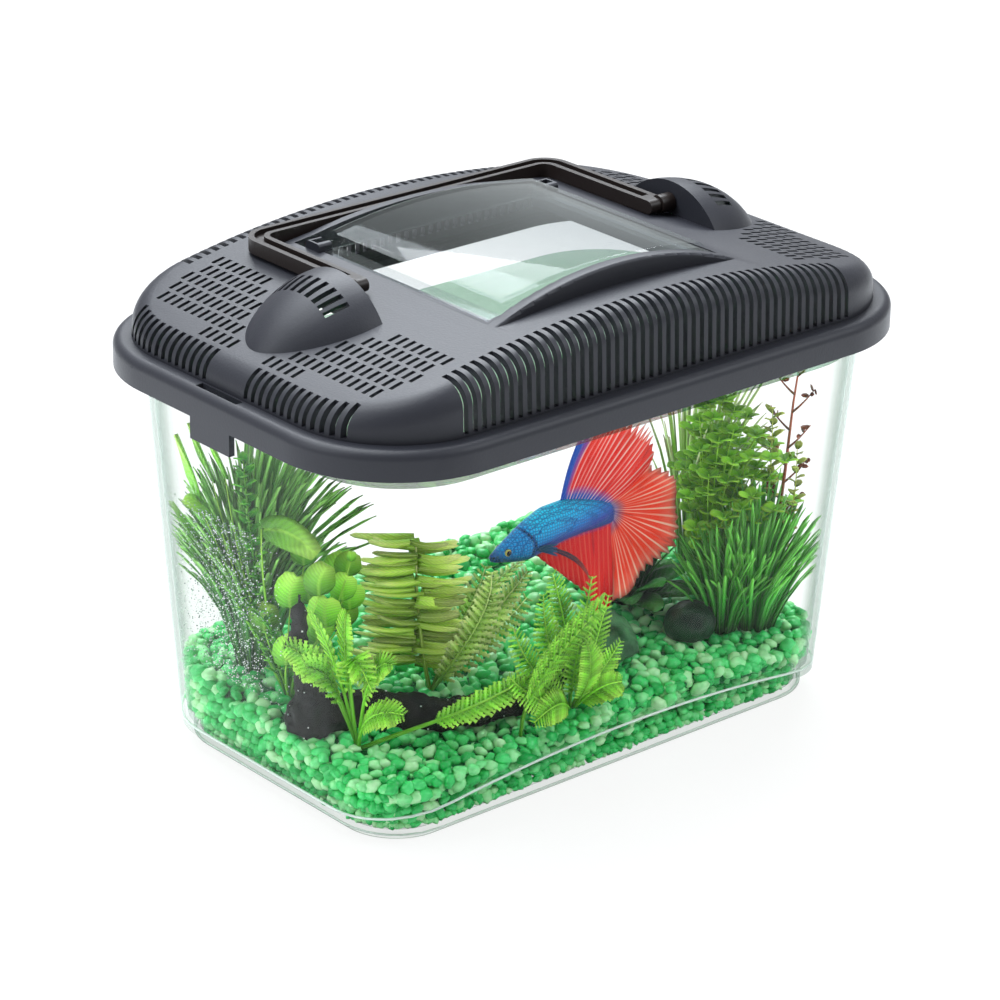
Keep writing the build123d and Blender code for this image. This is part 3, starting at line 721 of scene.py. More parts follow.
# %% Model one leaf
def leaf_model(rows, outline, fold=1.0, forward=0.0):
    """A leaf along +Y from 0 to 1, at most one unit to each side, folded at its midrib."""
    bpy.ops.mesh.primitive_grid_add(x_subdivisions=2, y_subdivisions=rows, size=2)
    leaf = bpy.context.object
    bpy.ops.object.mode_set(mode="EDIT")
    shape = bmesh.from_edit_mesh(leaf.data)
    for row in range(rows + 1):
        height = 2 * row / rows - 1
        line = [point for point in shape.verts if abs(point.co.y - height) < 0.4 / rows]
        bpy.ops.mesh.select_all(action="DESELECT")
        for point in line:
            point.select_set(True)
        shape.select_flush(True)
        bpy.ops.transform.resize(value=(max(outline(row / rows), 0.002), 1, 1))
        if forward and row % 2:
            for point in line:
                point.select_set(abs(point.co.x) > 0.01)
            shape.select_flush(False)
            bpy.ops.transform.translate(value=(0, forward * 2 / rows, 0))
    bpy.ops.mesh.select_all(action="DESELECT")
    for point in shape.verts:
        point.select_set(abs(point.co.x) < 0.001)
    bpy.ops.transform.translate(value=(0, 0, fold))
    bpy.ops.mesh.select_all(action="SELECT")
    bpy.ops.mesh.remove_doubles(threshold=0.01)
    edit_done()
    leaf.location.y = 0.5
    leaf.scale.y = 0.5
    pick(leaf)
    apply_place()
    modifier(leaf, "SOLIDIFY", thickness=0.4, offset=0)
    print("leaf of", len(leaf.data.polygons), "faces")
    model = shape_of(leaf)
    discard(leaf)
    return model


def taper(share, belly=0.35, base=0.5):
    """Half-width of a blade that is widest at its belly and pointed at its tip."""
    if share < belly:
        return base + (1 - base) * sin(0.5 * pi * share / belly)
    return cos(0.5 * pi * (share - belly) / (1 - belly)) ** 0.8


grass_leaf = leaf_model(5, lambda share: taper(share, 0.3, 0.7))
broad_leaf = leaf_model(8, lambda share: taper(share, 0.42, 0.08), 0.8)
round_leaf = leaf_model(6, lambda share: sin(pi * min(max(share, 0.03), 0.985)) ** 0.55, 0.5)
lobes = 8
fern_leaflet = leaf_model(
    lobes, lambda share: (1.0 if round(share * lobes) % 2 else 0.38) * (1.05 - share) ** 0.6, 0.4, 0.7)
plain_leaflet = leaf_model(3, lambda share: taper(share, 0.4, 0.3), 0.6)

# %% Model one stem
bpy.ops.mesh.primitive_cylinder_add(vertices=5, radius=1, depth=1, location=(0, 0.5, 0),
                                    rotation=(radians(90), 0, 0))
rod = bpy.context.object
pick(rod)
apply_place()
bpy.ops.object.mode_set(mode="EDIT")
rings = 7
for ring in range(1, rings):
    bpy.ops.mesh.select_all(action="SELECT")
    bpy.ops.mesh.bisect(plane_co=(0, ring / rings, 0), plane_no=(0, 1, 0))
edit_done()
for point in rod.data.vertices:
    slim = 1 - 0.65 * point.co.y
    point.co.x *= slim
    point.co.z *= slim * 2.4
print("stem of", len(rod.data.polygons), "faces")
stem_rod = shape_of(rod)
discard(rod)

# %% [markdown]
# ## Growing a plant
# A plant is a list of strands: a modelled leaf or stem, the control points of
# its path, its half-width, the direction of its width and a twist. The path is
# a Bezier curve, which starts upright and bends over smoothly with only three
# or four points. One function lays all the strands of a plant into one mesh
# and notes how far along its leaf each point is, so that paint can change
# from root to tip.

# %% Lay strands along paths
def along_path(path, share):
    """Places and directions along the Bezier curve of a path."""
    path = np.array([tuple(point) for point in path])
    share = np.asarray(share, dtype=float)[:, None]

    def curve(knots):
        """Points on the Bezier curve of some knots."""
        last = len(knots) - 1
        return sum(comb(last, i) * (1 - share) ** (last - i) * share ** i * knot
                   for i, knot in enumerate(knots))

    slope = curve(np.diff(path, axis=0))
    return curve(path), slope / (np.linalg.norm(slope, axis=1, keepdims=True) + 1e-12)


def lay(name, strands):
    """One mesh of many leaves and stems, each bent along its own path."""
    points, faces, tints, shares, ribs, start = [], [], [], [], [], 0
    for (corners, sides), path, half_width, across, twist in strands:
        share = np.clip(corners[:, 1], 0, 1)
        place, slope = along_path(path, share)
        across = np.array(tuple(across), dtype=float)
        side = across - slope * (slope @ across)[:, None]
        side /= np.linalg.norm(side, axis=1, keepdims=True) + 1e-12
        face = np.cross(side, slope)
        turn = (twist * share)[:, None]
        width = corners[:, :1] * half_width
        depth = corners[:, 2:] * (0.35 * half_width + 0.1) * MM
        points.append(place + (side * np.cos(turn) + face * np.sin(turn)) * width * MM
                      + (face * np.cos(turn) - side * np.sin(turn)) * depth)
        faces += [tuple(start + i for i in sides_of) for sides_of in sides]
        tints += [random.random()] * len(corners)
        shares += share.tolist()
        ribs += np.minimum(np.abs(corners[:, 0]), 1).tolist()
        start += len(corners)
    return new_mesh(name, np.concatenate(points), faces, tint=tints, share=shares, rib=ribs)


def at(x, y, z):
    """A place given in millimetres, kept inside the tank's walls."""
    return kept_inside((x * MM, y * MM, z * MM), 1.2 * MM)


def route(*points):
    """A path through points given in millimetres, kept inside the tank's walls."""
    return tuple(at(*point) for point in points)


def level(x, y):
    """Gravel level in millimetres at a place in millimetres."""
    return ground(x * MM, y * MM) / MM


def rooted(x, y):
    """A point one millimetre under the gravel's top, in millimetres."""
    return x, y, level(x, y) - 1


def upward(height):
    """A step straight up, in millimetres."""
    return Vector((0, 0, height * MM))


def square_to(slope, across):
    """The part of a direction that is square to a slope, one unit long."""
    side = np.array(across, dtype=float)
    side = side - slope * (slope @ side)
    return side / np.linalg.norm(side)


def grow(name, strands, slot, material, node):
    """Lay strands in one mesh and settle it in the tank in place of a CAD part."""
    settle(lay(name, strands), "tank", slot, material, node)


# The golden angle spreads blades evenly round a crown. A leaf whose width
# lies along the camera's right shows its face to the camera.
golden_turn = 2.39996
view_side = (0.754, -0.657, 0)


def tuft(leaf, x, y, count, spread, high, reach, half_width, lift=0.6, lean=(0, 0)):
    """Blades that rise from one crown and fan out, the outer ones lower."""
    strands = []
    for index in range(count):
        heading = golden_turn * index + near(0.3)
        share = sqrt((index + 0.5) / count)
        away = Vector((cos(heading), sin(heading)))
        foot = Vector((x, y)) + away * spread * share
        out = reach * share * random.uniform(0.75, 1.15)
        rise = high * (1 - 0.42 * share ** 2) * random.uniform(0.86, 1.08)
        end = foot + away * out + Vector(lean) * (0.4 + share)
        bend = foot + away * out * 0.22
        base = level(x, y) - 1
        path = (at(*foot, base), at(*bend, base + lift * rise), at(*end, base + rise))
        strands.append((leaf, path, half_width * random.uniform(0.8, 1.2), (-away.y, away.x, 0), near(0.9)))
    return strands


def frond(path, pairs, length, across, droop, bare=0.12, slim=0.24, stem=0.5):
    """A fern frond: a stem with leaflets in pairs that shorten to its tip."""
    strands = [(stem_rod, path, stem, across, 0)]
    shares = np.linspace(bare, 0.985, pairs)
    places, slopes = along_path(path, shares)
    for share, place, slope in zip(shares, places, slopes):
        run = (share - bare) / (1 - bare)
        side = square_to(slope, across)
        size = length * sin(pi * (0.2 + 0.74 * run)) ** 0.7 * random.uniform(0.9, 1.08) * MM
        for hand in (-1, 1):
            away = side * hand * 0.85 + slope * 0.52 + np.array((0, 0, -droop))
            tip = kept_inside(place + away * size, leaf_gap)
            leaf_path = (place, place + away * size * 0.5, tip)
            strands.append((fern_leaflet, leaf_path, size / MM * slim, slope, 0))
    return strands


def lace_frond(path, pairs, length, across):
    """A compound frond: every leaflet of the stem is a small frond of its own."""
    strands = [(stem_rod, path, 0.7, across, 0)]
    places, slopes = along_path(path, np.linspace(0.3, 0.97, pairs))
    for rank, (place, slope) in enumerate(zip(places, slopes)):
        side = square_to(slope, across)
        size = length * sin(pi * (0.24 + 0.66 * rank / pairs)) ** 0.8 * MM
        for hand in (-1, 1):
            away = side * hand * 0.9 + slope * 0.45
            tip = kept_inside(place + away * size, leaf_gap)
            middle = Vector(place + away * size * 0.5) + upward(0.6)
            small_path = (Vector(place), middle, tip)
            strands += frond(small_path, 8, 1.9, tuple(slope), 0.0, bare=0.1, slim=0.3, stem=0.3)
    return strands


def leafy_stem(path, count, length, half_width, stem=0.5):
    """A stem with single leaves that wind up it."""
    strands = [(stem_rod, path, stem, (0.75, -0.66, 0), 0)]
    places, slopes = along_path(path, np.linspace(0.15, 1.0, count))
    for index, place in enumerate(places):
        heading = golden_turn * index
        away = Vector((cos(heading), sin(heading), 0.5)) * length * MM * random.uniform(0.8, 1.15)
        start = Vector(place)
        tip = kept_inside(start + away, leaf_gap)
        across = (-sin(heading), cos(heading), 0.2)
        leaf_path = (start, start.lerp(tip, 0.5) + upward(0.6), tip)
        strands.append((plain_leaflet, leaf_path, half_width, across, 0))
    return strands


# %% [markdown]
# ## Leaf paint
# Moulded leaves are coloured all through, paler at the tips where the plastic
# is thin, and no two sprays come out of the dye quite alike. The paint follows
# the share along each leaf from root to tip and shifts its brightness with the
# leaf's tint. A second attribute, rib, grows from the midrib to the edge, and
# with it a slanted wave draws the side veins and a pale line the midrib.

# %% Leaf paint
def leaf_paint(name, root, middle, tip, spread=0.7, roughness=0.42):
    """Dyed leaf plastic, from a root colour to a tip colour."""
    paint = Paint(name)
    share, rib = paint.number("share"), paint.number("rib")
    tone = paint.ramp(share, ((0.05, root), (0.5, middle), (0.97, tip)))
    tone = paint.brighter(tone, paint.span(paint.number("tint"), 0, 1, 1 - spread * 0.6, 1 + spread * 0.7))
    veins = paint.calc("SINE", paint.calc("MULTIPLY_ADD", rib, -12, paint.calc("MULTIPLY", share, 62)))
    tone = paint.brighter(tone, paint.span(veins, -1, 1, 0.86, 1.06))
    tone = paint.blend(paint.span(rib, 0.16, 0.04, 0, 0.4), tone, tip)
    paint.bump(veins, 0.25, 0.0002)
    return paint.finish({"Base Color": tone, "Roughness": roughness, "Specular IOR Level": 0.25})


deep_green = leaf_paint("deep_green_leaf", (0.008, 0.07, 0.008), (0.035, 0.27, 0.025), (0.34, 0.72, 0.16))
fresh_green = leaf_paint("fresh_green_leaf", (0.02, 0.16, 0.012), (0.08, 0.46, 0.035), (0.26, 0.70, 0.08))
pale_green = leaf_paint("pale_green_leaf", (0.20, 0.42, 0.05), (0.46, 0.70, 0.12), (0.80, 0.88, 0.36), 0.5)
bright_green = leaf_paint("bright_green_leaf", (0.09, 0.34, 0.015), (0.24, 0.66, 0.04), (0.46, 0.82, 0.10),
                          0.6)
olive_green = leaf_paint("olive_green_leaf", (0.26, 0.46, 0.04), (0.52, 0.72, 0.10), (0.84, 0.90, 0.32), 0.9)

# %% [markdown]
# ## The plants on the left
# A dense tuft of dark grass stands in the back corner and throws pale-tipped
# blades to the right. In front of it grows a broad-leaved plant with a bright
# leafy stalk, and a fern arches over the wood and sends one long frond along
# the glass. The paths are laid out in millimetres from the photograph's
# features, each at the depth where its plant is rooted.

# %% Left grass
strands = tuft(grass_leaf, -76, 31, 260, 5, 70, 27, 0.85, 0.72, lean=(-2, 2))
strands += tuft(grass_leaf, -76, 31, 110, 5, 80, 22, 0.8, 0.8, lean=(8, -5))
grow("left_grass_blades", strands, "green_leaf", deep_green, "grass_plant_left")

# %% Broad-leaved plant
root = rooted(-80, 8)
strands = []
for x, y, z, size, wide in (
        (-84, 2, 64, 12, 4.6), (-83, -11, 72, 11, 4.4), (-79, -9, 60, 12, 4.9),
        (-74, -11, 67, 10, 4.0), (-86, 12, 52, 11, 4.2), (-73, 2, 50, 12, 4.6),
        (-88, -1, 46, 10, 4.2), (-70, 10, 58, 11, 4.4), (-66, 2, 66, 11, 4.4),
        (-64, -2, 58, 10, 4.2), (-78, -4, 52, 11, 4.4), (-68, -6, 71, 9, 3.8),
        (-62, 4, 50, 11, 4.4), (-74, 8, 72, 10, 4.0)):
    foot = at(x, y, z - size * 0.5)
    tip = at(x + near(2), y - 3, z + size * 0.5)
    strands.append(((round_leaf, broad_leaf)[size % 2], (foot, at(x, y + 1.5, z), tip), wide, view_side, 0.2))
    bend = at((root[0] + x) / 2, (root[1] + y) / 2 + 2, root[2] + 0.45 * (z - root[2]))
    strands.append((stem_rod, (at(*root), bend, foot), 0.55, view_side, 0))
strands.append((broad_leaf, route((-91, 7, 84), (-88, -2, 87), (-84, -11, 80)), 4.6, (0.1, 0.1, 1), 0.1))
for start, mid, end, wide in (
        ((-94, 34, 84), (-95, 38, 94), (-96, 44, 104), 4.2),
        ((-92, 30, 92), (-95, 33, 101), (-96, 37, 110), 4.0),
        ((-93, 36, 70), (-95, 42, 76), (-95, 48, 80), 3.4),
        ((-92, 26, 78), (-95, 31, 84), (-97, 37, 86), 3.4),
        ((-93, 22, 96), (-95, 25, 104), (-97, 29, 112), 3.4)):
    strands.append((broad_leaf, route(start, mid, end), wide, (0.1, 0.9, 0.4), 0.2))
    strands.append((stem_rod, route(root, (-88, 20, 52), start), 0.5, view_side, 0))
strands.append((stem_rod, route(root, (-88, 12, 55), (-91, 7, 84)), 0.6, view_side, 0))
strands.append((stem_rod, route(root, (-76, -8, 50), (-74, -15, 77)), 0.55, view_side, 0))
for face in (view_side, (-0.5, -0.6, 0.6)):
    strands.append((round_leaf, route((-74, -15, 76.5), (-74, -15.2, 78.5), (-74, -15.4, 80)), 1.4, face, 0))
grow("broad_leaves", strands, "green_leaf", bright_green, "broadleaf_plant")
strands = leafy_stem(route(root, (-86, 16, 50), (-90, 14, 78), (-90, 17, 103)), 60, 4.2, 1.3, 0.7)
strands += leafy_stem(route(root, (-86, 8, 42), (-90, 24, 56), (-92, 31, 68)), 34, 4.0, 1.2)
strands += leafy_stem(route(root, (-84, 2, 44), (-89, 10, 56), (-93, 18, 60)), 24, 3.6, 1.1)
grow("leafy_stalks", strands, "green_leaf", fresh_green, "broadleaf_plant")

# %% Left fern
strands = []
fern_root = rooted(-80, -26)
for bend, tip, across in (
        ((-89, -22, 52), (-93, -6, 51), (0, 0.5, 1)),
        ((-88, -24, 58), (-90, -14, 65), (0.1, 1, 0.3)),
        ((-88, -27, 60), (-87, -29, 68), (0.2, 1, 0)),
        ((-90, -28, 72), (-86, -40, 46), (0.75, -0.5, 0.6)),
        ((-84, -34, 56), (-80, -42, 54), (0.5, 1, 0.3)),
        ((-90, -24, 56), (-92, -12, 44), (0, 0.6, 1)),
        ((-86, -34, 40), (-78, -45, 38), (0.6, 0.6, 0.6))):
    strands += frond(route(fern_root, bend, tip), 15, 6.0, across, 0.1, bare=0.3)
strands += frond(route(fern_root, (-72, -42, 31), (-52, -49, 32), (-28, -50, 40)), 22, 5.6,
                 (0.3, 1, 0.6), 0.1, bare=0.45, stem=0.8)
grow("left_fern_fronds", strands, "pale_leaf", bright_green, "fern_left")

# %% [markdown]
# ## The plants in the middle
# Behind the rounded front corner stands a stack of long ribbon leaves, some
# dark and some yellow-green, which curl out to both sides of one stem. Next
# to it a yellow-green spray reaches up towards the fish, and the big fern
# spreads its fronds over the wood. One of its fronds is compound: each of its
# leaflets is a small frond.

# %% Ribbon plant
strands = []
stalk = route(rooted(-40, -12), (-43, -8, 44), (-43, -8, 72))
strands.append((stem_rod, stalk, 0.8, view_side, 0))
sweep = Vector(view_side)
ribbons = 84
for index in range(ribbons):
    height = 30 + 42 * index / (ribbons - 1) + near(0.6)
    centre = Vector((-43 + near(2), -8 + near(3), height))
    hand = -1 if index % 2 else 1
    reach = random.uniform(13, 20) if hand < 0 else random.uniform(12, 17)
    depth = Vector((0.6, 0.7, 0)) * near(7)
    end = centre + sweep * hand * reach + depth * 0.6
    middle = centre + sweep * hand * reach * 0.5 + depth * 0.5
    path = route(centre, middle - Vector((0, 0, 1.5)), end + Vector((0, 0, random.uniform(-1, 2.5))))
    strands.append((grass_leaf, path, random.uniform(0.7, 1.5), (0, 0.2, 1), near(0.5)))
grow("ribbon_leaves", strands, "pale_leaf", olive_green, "needle_plant")
strands = []
for bends, pairs, length, across, droop in (
        (((-34, -20, 38), (-20, -25, 52), (-13, -26, 60)), 20, 6.5, (0.6, -0.4, 0.7), 0.0),
        (((-38, -24, 40), (-30, -30, 52), (-31, -30, 66)), 18, 6.0, (0.7, -0.6, 0.3), 0.05),
        (((-34, -14, 40), (-24, -14, 46), (-18, -12, 58)), 16, 6.0, (0.7, -0.6, 0.5), 0.05),
        (((-30, -16, 34), (-16, -18, 38), (-6, -18, 46)), 16, 6.0, (0.4, 0.3, 0.8), 0.1),
        (((-30, -12, 42), (-14, -10, 52), (-2, -12, 56)), 18, 6.4, (0.7, -0.6, 0.5), 0.05),
        (((-26, -8, 36), (-8, -4, 46), (4, -4, 50)), 18, 6.4, (0.6, -0.4, 0.7), 0.05)):
    strands += frond((stalk[0], *route(*bends)), pairs, length, across, droop)
grow("yellow_green_spray", strands, "pale_leaf", pale_green, "needle_plant")

# %% Big fern
strands = []
fern_root = rooted(-12, -46)
for bends, across in (
        (((-20, -48, 34), (-26, -48, 50), (-25, -47, 63)), (1, 0, 0.4)),
        (((-16, -50, 32), (-12, -50, 46), (-6, -48, 64)), (1, 0, 0)),
        (((-10, -50, 30), (-5, -49, 40), (2, -47, 55)), (0.8, 0, -0.6)),
        (((-9, -50, 27), (-5, -52, 32), (3, -52, 41)), (0.6, 0, -0.8)),
        (((-22, -50, 30), (-34, -50, 40), (-38, -48, 56)), (0.8, 0, 0.6)),
        (((-22, -51, 25), (-34, -52, 32), (-42, -51, 42)), (0.4, 0.4, 0.9)),
        (((-20, -53, 28), (-24, -54, 30), (-34, -54, 25)), (0.3, 0.6, 0.8)),
        (((-12, -54, 30), (-10, -55, 36), (-14, -55, 47)), (1, 0, 0)),
        (((-9, -52, 27), (-5, -54, 30), (2, -54, 28)), (0.3, 0.6, 0.8)),
        (((-10, -44, 40), (-14, -43, 54), (-17, -42, 66)), (1, 0, 0.1))):
    strands += frond(route(fern_root, *bends), 21, 6.0, across, 0.05, bare=0.2, slim=0.16)
strands += lace_frond(route(rooted(-36, -50), (-38, -52, 36), (-24, -53, 45), (-4, -51, 55)), 15, 11,
                      (0.25, -0.2, 0.95))
grow("fern_fronds", strands, "pale_leaf", bright_green, "fern_centre")

# %% [markdown]
# ## The plants on the right
# Thin pale reeds stand at the back, a clover with small round leaves grows in
# front of them, medium grass leans over the gravel at the glass, darker grass
# fills the shade behind the fish's tail, and a red-brown twig climbs the
# corner.

# %% Reeds and grasses
reed_green = leaf_paint("reed_leaf", (0.06, 0.26, 0.02), (0.42, 0.70, 0.12), (0.90, 0.96, 0.60))
strands = tuft(grass_leaf, 85, 2, 70, 5, 84, 20, 0.6, 0.7, lean=(2, -6))
grow("reed_blades", strands, "pale_leaf", reed_green, "reed_plant")
strands = tuft(grass_leaf, 73, -39, 190, 7, 43, 21, 0.7, 0.6, lean=(3, 0))
strands += tuft(grass_leaf, 84, -30, 90, 5, 46, 16, 0.7, 0.6)
strands += tuft(grass_leaf, 62, -36, 80, 5, 38, 16, 0.7, 0.6)
grow("right_grass_blades", strands, "green_leaf",
     leaf_paint("shaded_grass_leaf", (0.004, 0.06, 0.005), (0.04, 0.34, 0.03), (0.20, 0.66, 0.09)),
     "grass_plant_right")
strands = tuft(grass_leaf, 47, -4, 70, 6, 36, 13, 1.0, 0.55, lean=(3, 3))
for heading, reach, rise in ((-40, 18, 12), (-75, 22, 9), (-10, 17, 10), (-110, 24, 8), (20, 15, 20),
                             (-95, 17, 13), (-130, 20, 9), (-60, 24, 8), (-150, 16, 12)):
    turn = radians(heading)
    foot = at(47, -8, level(47, -8))
    tip = at(47 + reach * cos(turn), -8 + reach * sin(turn), level(47, -8) + rise)
    across = (-sin(turn), cos(turn), 0.3)
    strands.append((broad_leaf, (foot, foot.lerp(tip, 0.5) + upward(5), tip), 4.2, across, 0))
grow("dark_tuft_blades", strands, "green_leaf",
     leaf_paint("dark_tuft_leaf", (0.002, 0.022, 0.004), (0.010, 0.10, 0.014), (0.05, 0.26, 0.04)),
     "grass_tuft")

# %% Clover
strands = []
clover_root = rooted(74, -18)
clover_stems = 40
for index in range(clover_stems):
    heading = golden_turn * index
    share = sqrt((index + 0.5) / clover_stems)
    reach, rise = 20 * share, 70 - 38 * share ** 2 * random.uniform(0.6, 1.1)
    away = Vector((cos(heading), sin(heading), 0)) * reach
    root = Vector(clover_root)
    path = route(root, root + away * 0.3 + Vector((0, 0, rise * 0.6)),
                 root + away + Vector((4 * share, -6 * share, rise)))
    strands.append((stem_rod, path, 0.45, view_side, 0))
    for ring, place in enumerate(along_path(path, (0.62, 0.8, 0.97))[0]):
        for petal in range(4):
            turn = heading + 1.57 * petal + 0.7 * ring
            out = Vector((cos(turn), sin(turn), 0.35)) * random.uniform(3.6, 4.9) * MM
            start = Vector(place)
            leaf_path = (start, start + out * 0.5 + upward(0.5), kept_inside(start + out, leaf_gap))
            strands.append((round_leaf, leaf_path, 1.9, (-sin(turn), cos(turn), 0), 0.3))
grow("clover_leaves", strands, "pale_leaf",
     leaf_paint("clover_leaf", (0.07, 0.28, 0.01), (0.24, 0.58, 0.03), (0.38, 0.70, 0.06), 0.6),
     "clover_plant")

# %% Red twig
sprig_root = rooted(90, -22)
main = route(sprig_root, (98, -30, 48), (89, -34, 78), (95, -33, 103))
strands = [(stem_rod, main, 0.9, view_side, 0)]
for index, place in enumerate(along_path(main, np.linspace(0.35, 0.97, 9))[0]):
    hand = -1 if index % 2 else 1
    start = Vector(place)
    away = (Vector(view_side) * hand * 7 + Vector((0, 0, 8))) * MM
    tip = kept_inside(start + away, leaf_gap)
    strands.append((stem_rod, (start, start + away * 0.4 - upward(1), tip), 0.45, view_side, 0))
    for _ in range(5):
        out = Vector((near(1), near(1), random.uniform(-0.2, 1))).normalized() * 2.6 * MM
        foot = start.lerp(tip, random.uniform(0.5, 1.0))
        bud_path = (foot, foot + out * 0.5, kept_inside(foot + out, leaf_gap))
        strands.append((plain_leaflet, bud_path, 0.7, (0.3, 0.4, 0.8), 0))
grow("red_twig", strands, "red_twig",
     leaf_paint("red_brown_twig", (0.10, 0.045, 0.012), (0.22, 0.055, 0.02), (0.36, 0.10, 0.05), 0.8),
     "red_sprig")
strands = leafy_stem(route(sprig_root, (92, -36, 44), (88, -42, 60), (91, -38, 78)), 30, 3.4, 1.2, 0.4)
strands += leafy_stem(route(sprig_root, (90, -28, 60), (84, -34, 74), (84, -33, 92)), 34, 3.6, 1.2, 0.4)
grow("twig_leaves", strands, "green_leaf",
     leaf_paint("yellow_green_leaflet", (0.12, 0.22, 0.02), (0.34, 0.42, 0.05), (0.55, 0.60, 0.14), 0.7),
     "red_sprig")

# %% [markdown]
# ## The betta
# The fish hangs in the middle of the tank, head to the left and slightly
# down. Its body starts as a sphere with its poles along X: each ring of points
# is slid to a station along the body and scaled to the height and width there,
# which gives full control of the outline with few numbers. The eye sockets and
# the cheeks are then pushed in or out by distance from a point, as a sculpting
# brush would, and the gill cover's edge and the mouth by distance from a line.

# %% Body
fish_y = -22
eye_x, eye_z = -19.6, 67.3
gill_x, gill_z, mouth_z, snout_x = -10.6, 66.5, 65.3, -22.6
# Each station: x, middle height, half-width and half-height, in millimetres.
stations = np.array((
    (-25.6, 65.7, 0.3, 0.3), (-24.8, 65.9, 1.0, 1.1), (-21.5, 66.3, 2.3, 2.6), (-16.5, 67.2, 3.4, 4.5),
    (-11.0, 68.3, 4.3, 6.5), (-4.0, 70.2, 4.6, 7.4), (5.0, 71.2, 4.0, 6.8), (14.0, 70.2, 3.0, 5.5),
    (21.0, 68.8, 2.1, 4.4), (25.5, 67.7, 1.1, 3.2), (26.4, 67.6, 0.3, 2.2)))
bpy.ops.mesh.primitive_uv_sphere_add(segments=40, ring_count=56, radius=1, rotation=(0, radians(90), 0))
body = bpy.context.object
body.name = "betta_trunk"
pick(body)
apply_place()
start_x, end_x = stations[0, 0], stations[-1, 0]
for point in body.data.vertices:
    share = acos(max(-1, min(1, -point.co.x))) / pi
    x = start_x + (end_x - start_x) * (share * 0.85 + 0.15 * (1 - cos(pi * share)) / 2)
    z, wide, high = (np.interp(x, stations[:, 0], stations[:, k]) for k in (1, 2, 3))
    reach = hypot(point.co.y, point.co.z) or 1
    across, above = point.co.y / reach, point.co.z / reach
    point.co = Vector((x, fish_y + across * wide * (1 - 0.12 * max(above, 0) ** 2), z + above * high))


def push(centre, radius, depth):
    """Move the skin near a place out from the body's middle, with a soft edge."""
    for point in body.data.vertices:
        away = point.co - Vector(centre)
        if away.length < radius:
            ease = (1 - (away.length / radius) ** 2) ** 2
            outward = Vector((0, point.co.y - fish_y, (point.co.z - 68) * 0.4)).normalized()
            point.co += outward * depth * ease


modifier(body, "SMOOTH", factor=0.5, iterations=3)
for side in (-1, 1):
    push((eye_x, fish_y + side * 2.9, eye_z), 2.2, -0.35)
    push((-14.5, fish_y + side * 4.0, 66.0), 4.2, 0.45)
for point in body.data.vertices:
    x, y, z = point.co
    out = y - fish_y
    from_gill = x - gill_x + 0.085 * (z - gill_z) ** 2
    from_mouth = z - mouth_z - 0.10 * (x + 25)
    if abs(z - 67) < 5:
        point.co.y += out * 0.10 * exp(-((from_gill + 0.9) / 0.8) ** 2)
        point.co.y -= out * 0.16 * exp(-((from_gill - 0.3) / 0.5) ** 2)
    if x < snout_x:
        point.co.y -= out * 0.45 * exp(-(from_mouth / 0.28) ** 2)
    point.co *= MM
body.data.shade_smooth()
print("body points", len(body.data.vertices))

# %% [markdown]
# The skin is blue, with a faint metallic sheen. Scales are a fine cell pattern,
# darker along the cells' edges. The back is cyan, the lower side turns violet
# in streaks, the head is deeper blue, and the throat and the nose are nearly
# black. All of it is placed with Object coordinates, so it stays with the fish.

# %% Fish skin
paint = Paint("betta_skin")
place = paint.place()
axes = paint.add("SeparateXYZ", {"Vector": place}).outputs
height = paint.span(paint.calc("MULTIPLY_ADD", axes["X"], -0.13, axes["Z"]), 0.0635, 0.0775)
tone = paint.ramp(height, ((0.0, (0.004, 0.03, 0.14)), (0.20, (0.03, 0.05, 0.42)), (0.38, (0.0, 0.26, 0.72)),
                           (0.62, (0.0, 0.48, 0.86)), (1.0, (0.0, 0.58, 0.86))))
streaks = paint.noise(1.0, 2, paint.add("Mapping", {"Vector": place, "Scale": (90, 90, 1100)}))
violet = paint.calc("MULTIPLY", paint.span(streaks, 0.45, 0.7), paint.span(height, 0.62, 0.30))
tone = paint.blend(violet, tone, (0.07, 0.03, 0.36))
above_middle = paint.calc("SUBTRACT", axes["Z"], 0.0665)
curved = paint.calc("MULTIPLY_ADD", paint.calc("MULTIPLY", above_middle, above_middle), 85, axes["X"])
from_gill = paint.calc("ABSOLUTE", paint.calc("ADD", curved, 0.0098))
throat = paint.calc("MULTIPLY_ADD", axes["X"], 0.25, axes["Z"])
for value, none_at, full_at, colour in (
        (axes["X"], -0.0095, -0.0125, (0.0, 0.30, 0.72)),
        (from_gill, 0.0010, 0.0004, (0.0, 0.02, 0.05)),
        (throat, 0.0622, 0.0598, (0.003, 0.03, 0.03)),
        (axes["X"], -0.0205, -0.0252, (0.012, 0.02, 0.03))):
    tone = paint.blend(paint.span(value, none_at, full_at), tone, colour)
cells = paint.add("TexVoronoi", {"Vector": place, "Scale": 980, "Randomness": 0.35},
                  feature="DISTANCE_TO_EDGE")
scale_edge = paint.span(cells.outputs["Distance"], 0.0, 0.22)
tone = paint.blend(scale_edge, (0.0, 0.09, 0.34), tone)
paint.bump(scale_edge, 0.6, 0.00025)
skin = paint.finish({"Base Color": tone, "Metallic": 0.08, "Roughness": 0.4, "Specular IOR Level": 0.3})
settle(body, "tank", "fish_blue", skin, "betta_body")

# %% [markdown]
# ## Eyes
# An eye is a small ball with a dark pupil, a yellow ring and a dark rim. The
# ball is turned so that one pole looks outwards, and the rings are colours by
# distance from that pole, so they stay round at any size.

